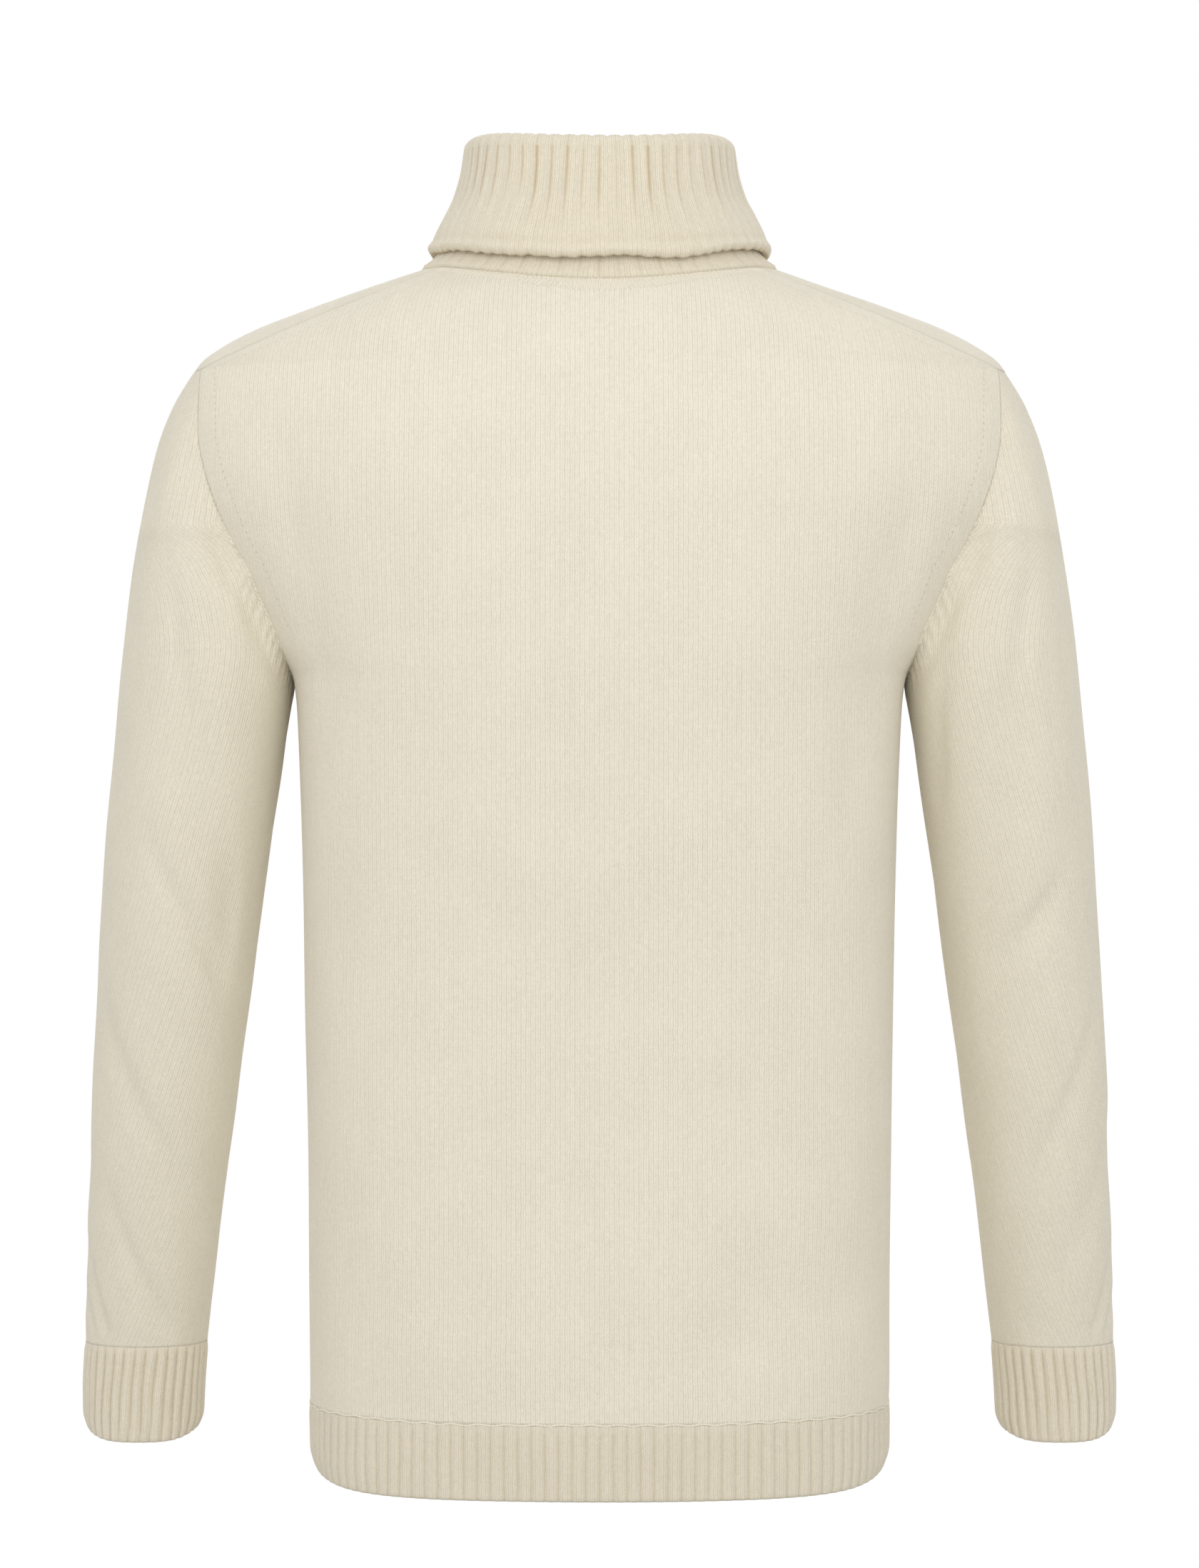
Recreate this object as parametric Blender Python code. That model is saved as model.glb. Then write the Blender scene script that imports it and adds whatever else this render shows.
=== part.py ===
"""Half-zip sweater, worn shape with no wearer: metres, +Z up, front towards -Y.

The origin is the middle of the neck opening, at the height where the shoulders meet the collar.
Every wall is a closed solid between an outer and an inner grid of points. Both grids are read
from one smooth figure of level sections, so neighbouring pieces share their seam lines.
"""
import math

import bmesh
import bpy
import numpy as np

MM = 0.001

# Cloth
KNIT_WALL = 2.5 * MM
RIB_WALL = 3.0 * MM
RIB_RAISED = 1.0 * MM
SEAM_HALF_GAP = 0.17 * MM
LEVEL_SEAM_HALF_GAP = 0.15 * MM

# Heights of the main lines
HEM_TOP = -641.0 * MM
HEM_BOTTOM = -682.8 * MM
UNDERARM = -232.0 * MM
SHOULDER_POINT = -55.0 * MM
NECK_POINT = 2.1 * MM

# Neck opening
NECK_HALF_WIDTH = 101.0 * MM
NECK_CREST = 3.3 * MM
BACK_NECK_DROP = 12.9 * MM
FRONT_NECK_DROP = 69.3 * MM
BACK_NECK_POWER = 3.3
FRONT_NECK_POWER = 2.4
BACK_DROP_REACH = -60.0 * MM
FRONT_DROP_REACH = -205.0 * MM

# Where two walls meet at a seam they share the cut of their edges while their directions
# are alike, from a cosine of LEAST_ALIKE to one of FULLY_ALIKE
LEAST_ALIKE = 0.2
FULLY_ALIKE = 0.7

# Ribs
HEM_RIBS_EACH_HALF = 60
CUFF_RIBS = 34
COLLAR_RIBS = 52
COLLAR_FOLD_RADIUS = 5.3 * MM
COLLAR_FOLD_STEPS = 4
COLLAR_FOLD_OPENING_CHANGE = 3.0 * MM

# Zip
SLIT_HALF_WIDTH = 4.0 * MM
TAPE_THICKNESS = 1.0 * MM
TAPE_GAP = 0.3 * MM
TAPE_OFFSETS = (-3.85 * MM, 2.5 * MM, 9.5 * MM)
TAPE_BELOW_SLIT = 10.0 * MM
TAPE_SHORT_OF_EDGE = 0.3
SLIDER_HEIGHT = -6.0 * MM
SLIDER_FACE = -83.4 * MM
SLIDER_SIZE = (7.0 * MM, 3.6 * MM, 9.0 * MM)
BRIDGE_WIDTH = 1.8 * MM
BRIDGE_LENGTH = 7.4 * MM
BRIDGE_THICKNESS = 0.9 * MM
BRIDGE_CLEARANCE = 2.6 * MM
PULL_PIVOT_BELOW_SLIDER = 1.5 * MM
PULL_PIVOT_OUT = 1.5 * MM
PULL_WIDTH = 5.0 * MM
PULL_LENGTH = 23.0 * MM
PULL_THICKNESS = 1.2 * MM
PULL_HOLE_HALF_WIDTH = 1.4 * MM
PULL_HOLE_LENGTH = 4.6 * MM
STOP_SIZE = (6.0 * MM, 2.0 * MM, 4.0 * MM)

# Grid sizes
SIDE_ROWS = 12
BACK_COLUMNS = 16
FRONT_COLUMNS_EACH_SIDE = 8
SHOULDER_COLUMNS = 3
HEM_ROWS = 1
CUFF_ROWS = 2

# Level sections of the body: height, half width, depth to the back, depth to the front (mm),
# and roundness, the power of the section's curve (2 is an ellipse, more is squarer)
BODY = np.array([
    (3.3, 101.0, 72.0, 56.0, 1.80),
    (-4.9, 124.5, 77.0, 60.0, 1.80),
    (-11.0, 142.8, 81.0, 63.0, 1.81),
    (-17.1, 160.6, 84.0, 65.5, 1.82),
    (-23.3, 177.2, 87.0, 68.0, 1.84),
    (-29.4, 192.8, 90.0, 70.5, 1.86),
    (-40.0, 214.0, 94.0, 75.0, 1.90),
    (-50.0, 228.0, 97.5, 79.5, 1.95),
    (-60.0, 234.0, 100.5, 84.0, 2.00),
    (-75.0, 239.0, 104.5, 91.0, 2.05),
    (-90.0, 241.0, 108.0, 98.0, 2.08),
    (-110.0, 241.0, 111.0, 107.0, 2.10),
    (-130.0, 236.0, 113.0, 115.0, 2.12),
    (-150.0, 226.0, 113.6, 119.5, 2.14),
    (-170.0, 213.0, 114.0, 122.5, 2.18),
    (-190.0, 200.0, 113.9, 124.4, 2.24),
    (-210.0, 187.0, 113.2, 125.0, 2.34),
    (-232.0, 174.0, 112.0, 125.0, 2.50),
    (-254.0, 171.8, 110.5, 123.5, 2.50),
    (-335.0, 169.3, 105.0, 116.0, 2.50),
    (-417.0, 167.5, 101.3, 110.5, 2.50),
    (-499.0, 166.1, 102.0, 109.6, 2.50),
    (-580.0, 165.2, 106.0, 110.8, 2.50),
    (-684.0, 164.6, 110.0, 112.0, 2.50),
])[::-1] * (MM, MM, MM, MM, 1.0)

# Armhole seam and shoulder seam: height, distance from the middle (mm)
ARMHOLE = np.array([
    (-232.0, 174.0), (-222.0, 176.7), (-206.0, 181.6), (-187.0, 190.0), (-168.0, 198.0),
    (-158.0, 204.0), (-147.0, 209.5), (-129.0, 217.0), (-110.0, 223.0), (-93.0, 226.0),
    (-60.0, 226.5), (-55.0, 226.0),
]) * MM
SHOULDER_SEAM = np.array([
    (-55.0, 226.0), (-48.0, 208.0), (-36.0, 180.0), (-18.0, 137.0), (2.1, 88.0),
]) * MM
ARMHOLE_HEIGHTS = np.array([-232, -225, -213, -199, -184, -167, -149, -131, -113, -95, -75, -55]) * MM
SHOULDER_HEIGHTS = np.array([-55, -49.5, -42.5, -34, -25, -16, -7, 2.1]) * MM

# Rows of the sleeve from the armhole to the level where its top ends and the tube begins
SLEEVE_TOP_ROWS = 4
# Rings of a sleeve: outer end and inner end in the view from the back (x, z each),
# half depth, middle of the depth (mm), and how much of the armhole's own shape is left
SLEEVE = np.array([
    (231.0, -55.0, 174.0, -232.0, 57.0, 0.0, 1.00),
    (242.5, -74.0, 174.6, -234.8, 58.5, 0.0, 0.80),
    (252.0, -98.0, 175.5, -240.0, 60.0, -0.3, 0.55),
    (260.0, -131.5, 177.0, -249.0, 61.5, -0.8, 0.35),
    (267.3, -176.0, 179.4, -263.0, 62.0, -1.8, 0.20),
    (273.2, -224.0, 182.7, -286.0, 60.0, -3.5, 0.10),
    (280.4, -297.5, 189.3, -329.0, 56.0, -6.0, 0.0),
    (284.6, -348.0, 194.2, -364.0, 53.5, -8.5, 0.0),
    (288.0, -402.0, 199.9, -407.0, 50.0, -11.0, 0.0),
    (291.0, -455.0, 206.8, -456.0, 46.5, -14.0, 0.0),
    (293.4, -508.0, 213.6, -508.0, 43.0, -17.5, 0.0),
    (295.2, -562.0, 220.6, -562.0, 38.5, -21.0, 0.0),
    (296.2, -611.0, 226.4, -611.0, 33.5, -24.0, 0.0),
]) * (MM, MM, MM, MM, MM, MM, 1.0)

# Rings of a cuff: height, outer edge, inner edge, half depth, middle of the depth (mm)
CUFF = np.array([
    (-611.0, 296.2, 226.4, 33.5, -24.0),
    (-638.0, 297.6, 228.4, 32.5, -25.5),
    (-666.0, 297.4, 229.6, 31.5, -27.0),
]) * MM

# Middle of the collar's wall: height at the back, side and front, half width, back depth,
# front depth, half the opening at the front (mm), power of the fall to the front
COLLAR_STAND = np.array([
    (-9.6, 3.3, -66.0, 101.0, 80.0, 87.0, 4.0, 2.4),
    (-5.0, 7.5, -60.0, 91.5, 77.5, 86.5, 4.0, 2.3),
    (9.0, 19.0, -45.0, 83.0, 74.0, 85.5, 4.0, 2.1),
    (31.0, 38.0, -22.0, 74.0, 70.0, 83.5, 4.0, 1.9),
    (50.0, 56.0, -5.0, 67.5, 67.0, 82.0, 5.0, 1.7),
]) * (MM, MM, MM, MM, MM, MM, MM, 1.0)
COLLAR_FOLD = np.array([64.1, 68.8, 5.2, 71.0, 70.5, 86.0, 8.0, 1.6]) * (MM, MM, MM, MM, MM, MM, MM, 1.0)
COLLAR_FALL = np.array([
    (53.0, 56.0, -8.0, 77.8, 78.0, 94.0, 12.0, 1.7),
    (38.0, 44.0, -24.0, 81.4, 80.5, 96.5, 15.0, 1.9),
    (24.0, 32.0, -37.0, 88.0, 83.5, 98.5, 18.0, 2.0),
    (12.0, 21.5, -48.0, 93.7, 86.0, 100.0, 21.0, 2.1),
    (1.5, 12.0, -58.0, 96.5, 88.0, 101.0, 24.0, 2.2),
]) * (MM, MM, MM, MM, MM, MM, MM, 1.0)

CREAM = (0.78, 0.72, 0.60)
CREAM_RIB = (0.75, 0.69, 0.57)
TAPE_CLOTH = (0.70, 0.66, 0.56)
STEEL = (0.62, 0.61, 0.59)


for old in list(bpy.data.objects):
    bpy.data.objects.remove(old)


def curve(keys, values, at):
    """Smooth curve through (keys, values) with no overshoot: cubic pieces whose slope at each
    key is the harmonic mean of the slopes beside it."""
    at = np.clip(at, keys[0], keys[-1])
    step = np.diff(keys)
    slope = np.diff(values) / step
    product = slope[:-1] * slope[1:]
    total = slope[:-1] + slope[1:]
    inner = np.where(product > 0, 2 * product / np.where(product > 0, total, 1), 0.0)
    tangent = np.concatenate(([slope[0]], inner, [slope[-1]]))
    i = np.clip(np.searchsorted(keys, at, side="right") - 1, 0, len(step) - 1)
    t = (at - keys[i]) / step[i]
    rise = t * t * (3 - 2 * t)
    bend = t * (1 - t)
    return (values[i] * (1 - rise) + values[i + 1] * rise
            + step[i] * bend * ((1 - t) * tangent[i] - t * tangent[i + 1]))


def smooth_step(t):
    t = np.clip(t, 0.0, 1.0)
    return t * t * (3 - 2 * t)


def unit(vectors):
    return vectors / np.linalg.norm(vectors, axis=-1, keepdims=True)


def section(height):
    """Half width, back depth, front depth and roundness of the figure at a height."""
    return [curve(BODY[:, 0], BODY[:, column], height) for column in range(1, 5)]


def angle_at(x, height):
    """Angle from the centre line where the level section passes x."""
    half_width, _, _, power = section(height)
    return np.arcsin(np.clip(x / half_width, 0.0, 1.0) ** (power / 2))


def figure(angle, height):
    """Point of the figure and its outward direction, for an angle from the centre back.

    The level section is |x / half width| ** power + |y / depth| ** power = 1.
    """
    angle, height = np.broadcast_arrays(angle, height)
    half_width, back, front, power = section(height)
    sine, cosine = np.sin(angle), np.cos(angle)
    depth = np.where(cosine >= 0, back, front)
    x = np.sign(sine) * half_width * np.abs(sine) ** (2 / power)
    y = np.sign(cosine) * depth * np.abs(cosine) ** (2 / power)
    nearby = 0.5 * MM
    width_above, back_above, front_above, _ = section(height + nearby)
    width_below, back_below, front_below, _ = section(height - nearby)
    width_slope = (width_above - width_below) / (2 * nearby)
    depth_slope = np.where(cosine >= 0, back_above - back_below, front_above - front_below) / (2 * nearby)
    steep = 2 * (power - 1) / power
    outward = np.stack([
        np.sign(sine) * np.abs(sine) ** steep / half_width,
        np.sign(cosine) * np.abs(cosine) ** steep / depth,
        -(sine ** 2 * width_slope / half_width + cosine ** 2 * depth_slope / depth),
    ], axis=-1)
    return np.stack([x, y, height], axis=-1), unit(outward)


def neck_height(angle):
    """Height of the neck seam at an angle from the centre back."""
    cosine = np.cos(angle)
    drop = np.where(cosine >= 0,
                    BACK_NECK_DROP * np.abs(cosine) ** BACK_NECK_POWER,
                    FRONT_NECK_DROP * np.abs(cosine) ** FRONT_NECK_POWER)
    return NECK_CREST - drop


def material(name, colour, roughness, metallic=0.0):
    made = bpy.data.materials.new(name)
    made.use_nodes = True
    shader = made.node_tree.nodes["Principled BSDF"]
    shader.inputs["Base Color"].default_value = (*colour, 1.0)
    shader.inputs["Roughness"].default_value = roughness
    shader.inputs["Metallic"].default_value = metallic
    return made


def object_from(name, bm, made_material, smooth_degrees=40):
    """Turn the faces outwards and make the named object."""
    bmesh.ops.recalc_face_normals(bm, faces=bm.faces)
    mesh = bpy.data.meshes.new(name)
    bm.to_mesh(mesh)
    bm.free()
    mesh.shade_smooth()
    mesh.set_sharp_from_angle(angle=math.radians(smooth_degrees))
    mesh.materials.append(made_material)
    made = bpy.data.objects.new(name, mesh)
    bpy.context.scene.collection.objects.link(made)
    return made


def wall(name, outer, inner, made_material, closed=False, present=None):
    """One closed cloth wall between two grids of points, [row, column, xyz].

    The outer grid may have a whole number of columns for each column of the inner one, for
    ribs. `closed` joins the last column to the first, as on a tube. `present` says which
    cells are cloth, so that a slit or a step in the edge is left open.
    """
    bm = bmesh.new()
    rows = outer.shape[0]
    inner_cells = inner.shape[1] - (0 if closed else 1)
    outer_cells = outer.shape[1] - (0 if closed else 1)
    ratio = outer_cells // inner_cells
    if present is None:
        present = np.ones((rows - 1, inner_cells), dtype=bool)
    out = [[bm.verts.new(point) for point in row] for row in outer]
    within = [[bm.verts.new(point) for point in row] for row in inner]

    def is_cloth(row, column):
        if closed:
            column %= inner_cells
        return 0 <= row < rows - 1 and 0 <= column < inner_cells and present[row, column]

    def edge_face(row, column):
        """Wall's edge along a row, from its outer points to its inner ones."""
        run = [out[row][(column * ratio + i) % len(out[row])] for i in range(ratio + 1)]
        bm.faces.new(run + [within[row][(column + 1) % len(within[row])], within[row][column]])

    def end_face(row, column):
        """Wall's edge along a column."""
        bm.faces.new((out[row][column * ratio], out[row + 1][column * ratio],
                      within[row + 1][column], within[row][column]))

    for row in range(rows - 1):
        for column in range(inner_cells):
            if not present[row, column]:
                continue
            after = (column + 1) % len(within[row])
            bm.faces.new((within[row][column], within[row + 1][column],
                          within[row + 1][after], within[row][after]))
            for i in range(ratio):
                left = column * ratio + i
                right = (left + 1) % len(out[row])
                bm.faces.new((out[row][left], out[row][right], out[row + 1][right], out[row + 1][left]))
            if not is_cloth(row - 1, column):
                edge_face(row, column)
            if not is_cloth(row + 1, column):
                edge_face(row + 1, column)
            if not is_cloth(row, column - 1):
                end_face(row, column)
            if not is_cloth(row, column + 1):
                end_face(row, column + 1)
    loose = [vertex for vertex in bm.verts if not vertex.link_faces]
    bmesh.ops.delete(bm, geom=loose, context="VERTS")
    return object_from(name, bm, made_material)


def draw_in(outer, inner, here, towards, amount=SEAM_HALF_GAP):
    """Move an edge of both grids towards its neighbouring line, to leave half a seam's gap."""
    shift = unit(outer[towards] - outer[here]) * amount
    outer[here] += shift
    inner[here] += shift


# ---------------------------------------------------------------- body panels
SIDE_HEIGHTS = np.linspace(HEM_TOP, UNDERARM, SIDE_ROWS + 1)
EDGE_HEIGHTS = np.concatenate([SIDE_HEIGHTS, ARMHOLE_HEIGHTS[1:], SHOULDER_HEIGHTS[1:]])
UNDERARM_ROW = SIDE_ROWS
SHOULDER_ROW = SIDE_ROWS + len(ARMHOLE_HEIGHTS) - 1
LAST_ROW = len(EDGE_HEIGHTS) - 1


def armhole_angle(height):
    return angle_at(curve(ARMHOLE[:, 0], ARMHOLE[:, 1], height), height)


def shoulder_seam_angle(height):
    keys = SHOULDER_SEAM
    return angle_at(curve(keys[:, 0], keys[:, 1], height), height)


def panel_walls(angle, height):
    """Outer and inner grids of a panel, from the angle and height of each of its points."""
    outer, outward = figure(angle, height)
    return outer, outer - outward * KNIT_WALL


def spread(fraction, edge_angle, power, neck_fraction, blend):
    """Share of the edge's distance from the middle at which a column lies."""
    low = (np.sin(fraction * edge_angle) / np.sin(edge_angle)) ** (2 / power)
    return low * (1 - blend) + neck_fraction * blend


def back_panel_grids():
    """Rows climb from the hem. Columns run from side to side, spread by angle at the bottom
    and by the neck's own curve at the top, where the rows also dip to the neck seam."""
    columns = np.linspace(-1, 1, BACK_COLUMNS + 1)
    size = np.abs(columns)
    top_angle = math.asin(SHOULDER_SEAM[-1, 1] / NECK_HALF_WIDTH)
    dip = neck_height(top_angle) - neck_height(top_angle * size)
    neck_fraction = np.sin(top_angle * size) / math.sin(top_angle)
    angles, heights = [], []
    for row, height in enumerate(EDGE_HEIGHTS):
        if row <= UNDERARM_ROW:
            edge = math.pi / 2
        elif row <= SHOULDER_ROW:
            edge = armhole_angle(height)
        else:
            edge = shoulder_seam_angle(height)
        blend = smooth_step((height - BACK_DROP_REACH) / (NECK_POINT - BACK_DROP_REACH))
        half_width, _, _, power = section(height)
        edge_x = half_width * np.sin(edge) ** (2 / power)
        level = height - dip * blend
        x = edge_x * spread(size, edge, power, neck_fraction, blend)
        angles.append(np.sign(columns) * angle_at(x, level))
        heights.append(level)
    return panel_walls(np.array(angles), np.array(heights))


def front_panel_grids():
    """Each row: shoulder columns over the crest, then the front, the two edges of the slit,
    the front again and the other shoulder. Below the armhole's top the shoulder columns are
    no cloth. Returns the grids and which cells are cloth."""
    parts = np.arange(FRONT_COLUMNS_EACH_SIDE, 0, -1) / FRONT_COLUMNS_EACH_SIDE
    dip = neck_height(math.pi / 2) - neck_height(math.pi - parts * math.pi / 2)
    neck_fraction = np.sin(parts * math.pi / 2)
    over = np.linspace(0, 1, SHOULDER_COLUMNS + 1)[:-1]
    angles, heights = [], []
    for row, height in enumerate(EDGE_HEIGHTS):
        climb = np.clip((height - SHOULDER_POINT) / (NECK_POINT - SHOULDER_POINT), 0, 1)
        front_height = height + climb * (NECK_CREST - NECK_POINT)
        if row <= UNDERARM_ROW:
            edge = math.pi / 2
        elif row <= SHOULDER_ROW:
            edge = armhole_angle(height)
        else:
            edge = armhole_angle(SHOULDER_POINT) * (1 - climb) + math.pi / 2 * climb
        blend = smooth_step((front_height - FRONT_DROP_REACH) / (NECK_CREST - FRONT_DROP_REACH))
        half_width, _, _, power = section(front_height)
        edge_x = half_width * np.sin(edge) ** (2 / power)
        level = front_height - dip * blend
        x = edge_x * spread(parts, edge, power, neck_fraction, blend)
        middle = front_height - FRONT_NECK_DROP * blend
        half = np.pi - angle_at(np.append(x, SLIT_HALF_WIDTH), np.append(level, middle))
        seam = shoulder_seam_angle(max(height, SHOULDER_POINT))
        shoulder = seam + (half[0] - seam) * over
        side = np.concatenate([shoulder, half])
        side_level = np.concatenate([height + (front_height - height) * over, level, [middle]])
        angles.append(np.concatenate([side, -side[::-1]]))
        heights.append(np.concatenate([side_level, side_level[::-1]]))
    outer, inner = panel_walls(np.array(angles), np.array(heights))
    cells = outer.shape[1] - 1
    present = np.ones((LAST_ROW, cells), dtype=bool)
    present[:SHOULDER_ROW, :SHOULDER_COLUMNS] = False
    present[:SHOULDER_ROW, cells - SHOULDER_COLUMNS:] = False
    present[UNDERARM_ROW:, cells // 2] = False
    return outer, inner, present


knit = material("cream_knit", CREAM, 0.95)
rib_knit = material("cream_rib", CREAM_RIB, 0.95)
tape_cloth = material("tape_cloth", TAPE_CLOTH, 0.85)
steel = material("zip_steel", STEEL, 0.3, 1.0)

back_outer, back_inner = back_panel_grids()
front_outer, front_inner, front_present = front_panel_grids()
FRONT_EDGE = SHOULDER_COLUMNS
SLIT_LEFT = front_outer.shape[1] // 2 - 1

# Seam lines that the sleeves and the collar start from, taken before the edges are drawn in
armhole_rows = slice(UNDERARM_ROW, SHOULDER_ROW + 1)
arm_line = [
    np.concatenate([
        back[armhole_rows, -1],
        front[SHOULDER_ROW, 1:FRONT_EDGE + 1],
        front[armhole_rows, FRONT_EDGE][::-1][1:-1],
    ])
    for back, front in ((back_outer, front_outer), (back_inner, front_inner))
]
neck_line = [
    np.concatenate([
        front[LAST_ROW, SLIT_LEFT + 1:],
        back[LAST_ROW, 1:],
        front[LAST_ROW, 1:SLIT_LEFT + 1],
    ])
    for back, front in ((back_outer, front_outer), (back_inner, front_inner))
]
beside_slit = np.s_[SLIT_LEFT - 1:SLIT_LEFT + 1]
slit_line = [grid[UNDERARM_ROW:, beside_slit].copy() for grid in (front_outer, front_inner)]
below_slit = [grid[UNDERARM_ROW - 1, beside_slit].copy() for grid in (front_outer, front_inner)]

# Each edge that meets another piece, and the line beside it towards which it is drawn in
back_grids = (back_outer, back_inner)
front_grids = (front_outer, front_inner)
low, high = np.s_[:SHOULDER_ROW + 1], np.s_[SHOULDER_ROW:]
left_tab, right_tab = np.s_[:FRONT_EDGE], np.s_[-FRONT_EDGE:]
for grids, edge, beside in (
    (back_grids, np.s_[:, 0], np.s_[:, 1]),
    (back_grids, np.s_[:, -1], np.s_[:, -2]),
    (back_grids, np.s_[-1], np.s_[-2]),
    (front_grids, np.s_[high, 0], np.s_[high, 1]),
    (front_grids, np.s_[high, -1], np.s_[high, -2]),
    (front_grids, np.s_[SHOULDER_ROW, left_tab], np.s_[SHOULDER_ROW + 1, left_tab]),
    (front_grids, np.s_[SHOULDER_ROW, right_tab], np.s_[SHOULDER_ROW + 1, right_tab]),
    (front_grids, np.s_[low, FRONT_EDGE], np.s_[low, FRONT_EDGE + 1]),
    (front_grids, np.s_[low, -1 - FRONT_EDGE], np.s_[low, -2 - FRONT_EDGE]),
    (front_grids, np.s_[-1], np.s_[-2]),
):
    draw_in(*grids, edge, beside)
for outer, inner in (back_grids, front_grids):
    outer[0, :, 2] += LEVEL_SEAM_HALF_GAP
    inner[0, :, 2] = outer[0, :, 2]
wall("back_panel", back_outer, back_inner, knit)
wall("front_panel", front_outer, front_inner, knit, present=front_present)


# ---------------------------------------------------------------- hem bands
def even_angles(height, count):
    """Angles from the centre line to the side that part the level section evenly."""
    fine = np.linspace(0, math.pi / 2, 400)
    points, _ = figure(fine, height)
    length = np.concatenate([[0], np.cumsum(np.linalg.norm(np.diff(points, axis=0), axis=1))])
    return np.interp(np.linspace(0, length[-1], count + 1), length, fine)


def hem_band(name, faces_back):
    """Ribbed band of one panel's width, level at the hem seam and at its lower edge."""
    count = HEM_RIBS_EACH_HALF
    quarter = even_angles(HEM_TOP, count)
    across = np.concatenate([-quarter[::-1], quarter[1:]])
    if not faces_back:
        across = math.pi - across
    top = HEM_TOP - LEVEL_SEAM_HALF_GAP
    share = np.linspace(0, 1, HEM_ROWS + 1)[:, None]
    height = top * (1 - share) + HEM_BOTTOM * share
    surface, outward = figure(across, height)
    outward[..., 2] = 0
    outward = unit(outward)
    crest = (np.arange(len(across)) % 2)[None, :, None] - 0.5
    outer = surface + outward * RIB_RAISED * crest
    inner = (surface - outward * (RIB_WALL + RIB_RAISED / 2))[:, ::2].copy()
    draw_in(outer, inner, np.s_[:, 0], np.s_[:, 2])
    draw_in(outer, inner, np.s_[:, -1], np.s_[:, -3])
    return wall(name, outer, inner, rib_knit)


hem_band("hem_band_back", True)
hem_band("hem_band_front", False)


# ---------------------------------------------------------------- sleeves and cuffs
def shared_direction(panel_inward, own_inward):
    """Direction in which a wall's edge is cut at a panel's seam: the panel's where the two
    surfaces run on, and the wall's own where they fold back on each other."""
    panel_inward = unit(panel_inward)
    alike = np.sum(panel_inward * own_inward, axis=-1, keepdims=True)
    share = smooth_step((alike - LEAST_ALIKE) / (FULLY_ALIKE - LEAST_ALIKE))
    return unit(panel_inward * share + own_inward * (1 - share))


def ring(outer_end, inner_end, half_depth, middle, around):
    """Ellipse through two ends in the view from the back, from the inner end round the back."""
    centre = (outer_end + inner_end) / 2
    along = (inner_end - outer_end) / 2
    x = centre[0] + along[0] * np.cos(around)
    z = centre[1] + along[1] * np.cos(around)
    y = middle + half_depth * np.sin(around)
    return np.stack([x, y, z], axis=-1)


def tube_normals(grid):
    """Outward directions of a closed grid of rings."""
    around = np.roll(grid, -1, axis=1) - np.roll(grid, 1, axis=1)
    along = np.gradient(grid, axis=0)
    normals = unit(np.cross(along, around))
    centre = grid.mean(axis=1, keepdims=True)
    facing = np.sign(np.sum(normals * (grid - centre), axis=-1, keepdims=True).mean())
    return normals * facing


def sleeve_grids():
    """Rings fan from the armhole seam and level out at the elbow. The first one is the seam
    itself, and its own shape fades into the sleeve's round section."""
    seam_outer, seam_inner = arm_line
    step = np.linalg.norm(np.diff(seam_outer, axis=0, append=seam_outer[:1]), axis=1)
    around = np.concatenate([[0], np.cumsum(step)[:-1]]) / step.sum() * 2 * math.pi
    rings = [ring(row[0:2], row[2:4], row[4], row[5], around) for row in SLEEVE]
    residual = seam_outer - rings[0]
    outer = np.array([points + residual * left for points, left in zip(rings, SLEEVE[:, 6])])
    inward = -tube_normals(outer)
    inward[0] = shared_direction(seam_inner - seam_outer, inward[0])
    inner = outer + inward * KNIT_WALL
    inner[-1, :, 2] = outer[-1, :, 2]
    draw_in(outer, inner, np.s_[0], np.s_[1])
    outer[-1, :, 2] += LEVEL_SEAM_HALF_GAP
    inner[-1, :, 2] = outer[-1, :, 2]
    return outer, inner


def cuff_grids():
    """Ribbed tube below the sleeve, with two outer points for each rib."""
    around = np.arange(2 * CUFF_RIBS) / CUFF_RIBS * math.pi
    level = np.linspace(CUFF[0, 0] - LEVEL_SEAM_HALF_GAP, CUFF[-1, 0], CUFF_ROWS + 1)
    rows = [[curve(-CUFF[:, 0], CUFF[:, column], -height) for column in range(1, 5)] for height in level]
    surface = np.array([
        ring(np.array((far, height)), np.array((near, height)), half_depth, middle, around)
        for height, (far, near, half_depth, middle) in zip(level, rows)
    ])
    outward = tube_normals(surface)
    outward[..., 2] = 0
    outward = unit(outward)
    crest = (np.arange(2 * CUFF_RIBS) % 2)[None, :, None] - 0.5
    outer = surface + outward * RIB_RAISED * crest
    inner = (surface - outward * (RIB_WALL + RIB_RAISED / 2))[:, ::2]
    return outer, inner


def parted(grid_pair, row):
    """The two lengths of a tube on either side of a row, with a level seam's gap between."""
    above = [grid[:row + 1].copy() for grid in grid_pair]
    below = [grid[row:].copy() for grid in grid_pair]
    draw_in(*above, np.s_[-1], np.s_[-2], LEVEL_SEAM_HALF_GAP)
    draw_in(*below, np.s_[0], np.s_[1], LEVEL_SEAM_HALF_GAP)
    return above, below


# The sleeve's cloth is one piece, modelled in two lengths: the bowl of its top, and the tube
mirrored = np.array((-1.0, 1.0, 1.0))
for side, flip in (("left", np.ones(3)), ("right", mirrored)):
    top_pair, tube_pair = parted(sleeve_grids(), SLEEVE_TOP_ROWS)
    wall(f"sleeve_top_{side}", top_pair[0] * flip, top_pair[1] * flip, knit, closed=True)
    wall(f"sleeve_{side}", tube_pair[0] * flip, tube_pair[1] * flip, knit, closed=True)
    cuff_outer, cuff_inner = cuff_grids()
    wall(f"cuff_{side}", cuff_outer * flip, cuff_inner * flip, rib_knit, closed=True)


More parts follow.
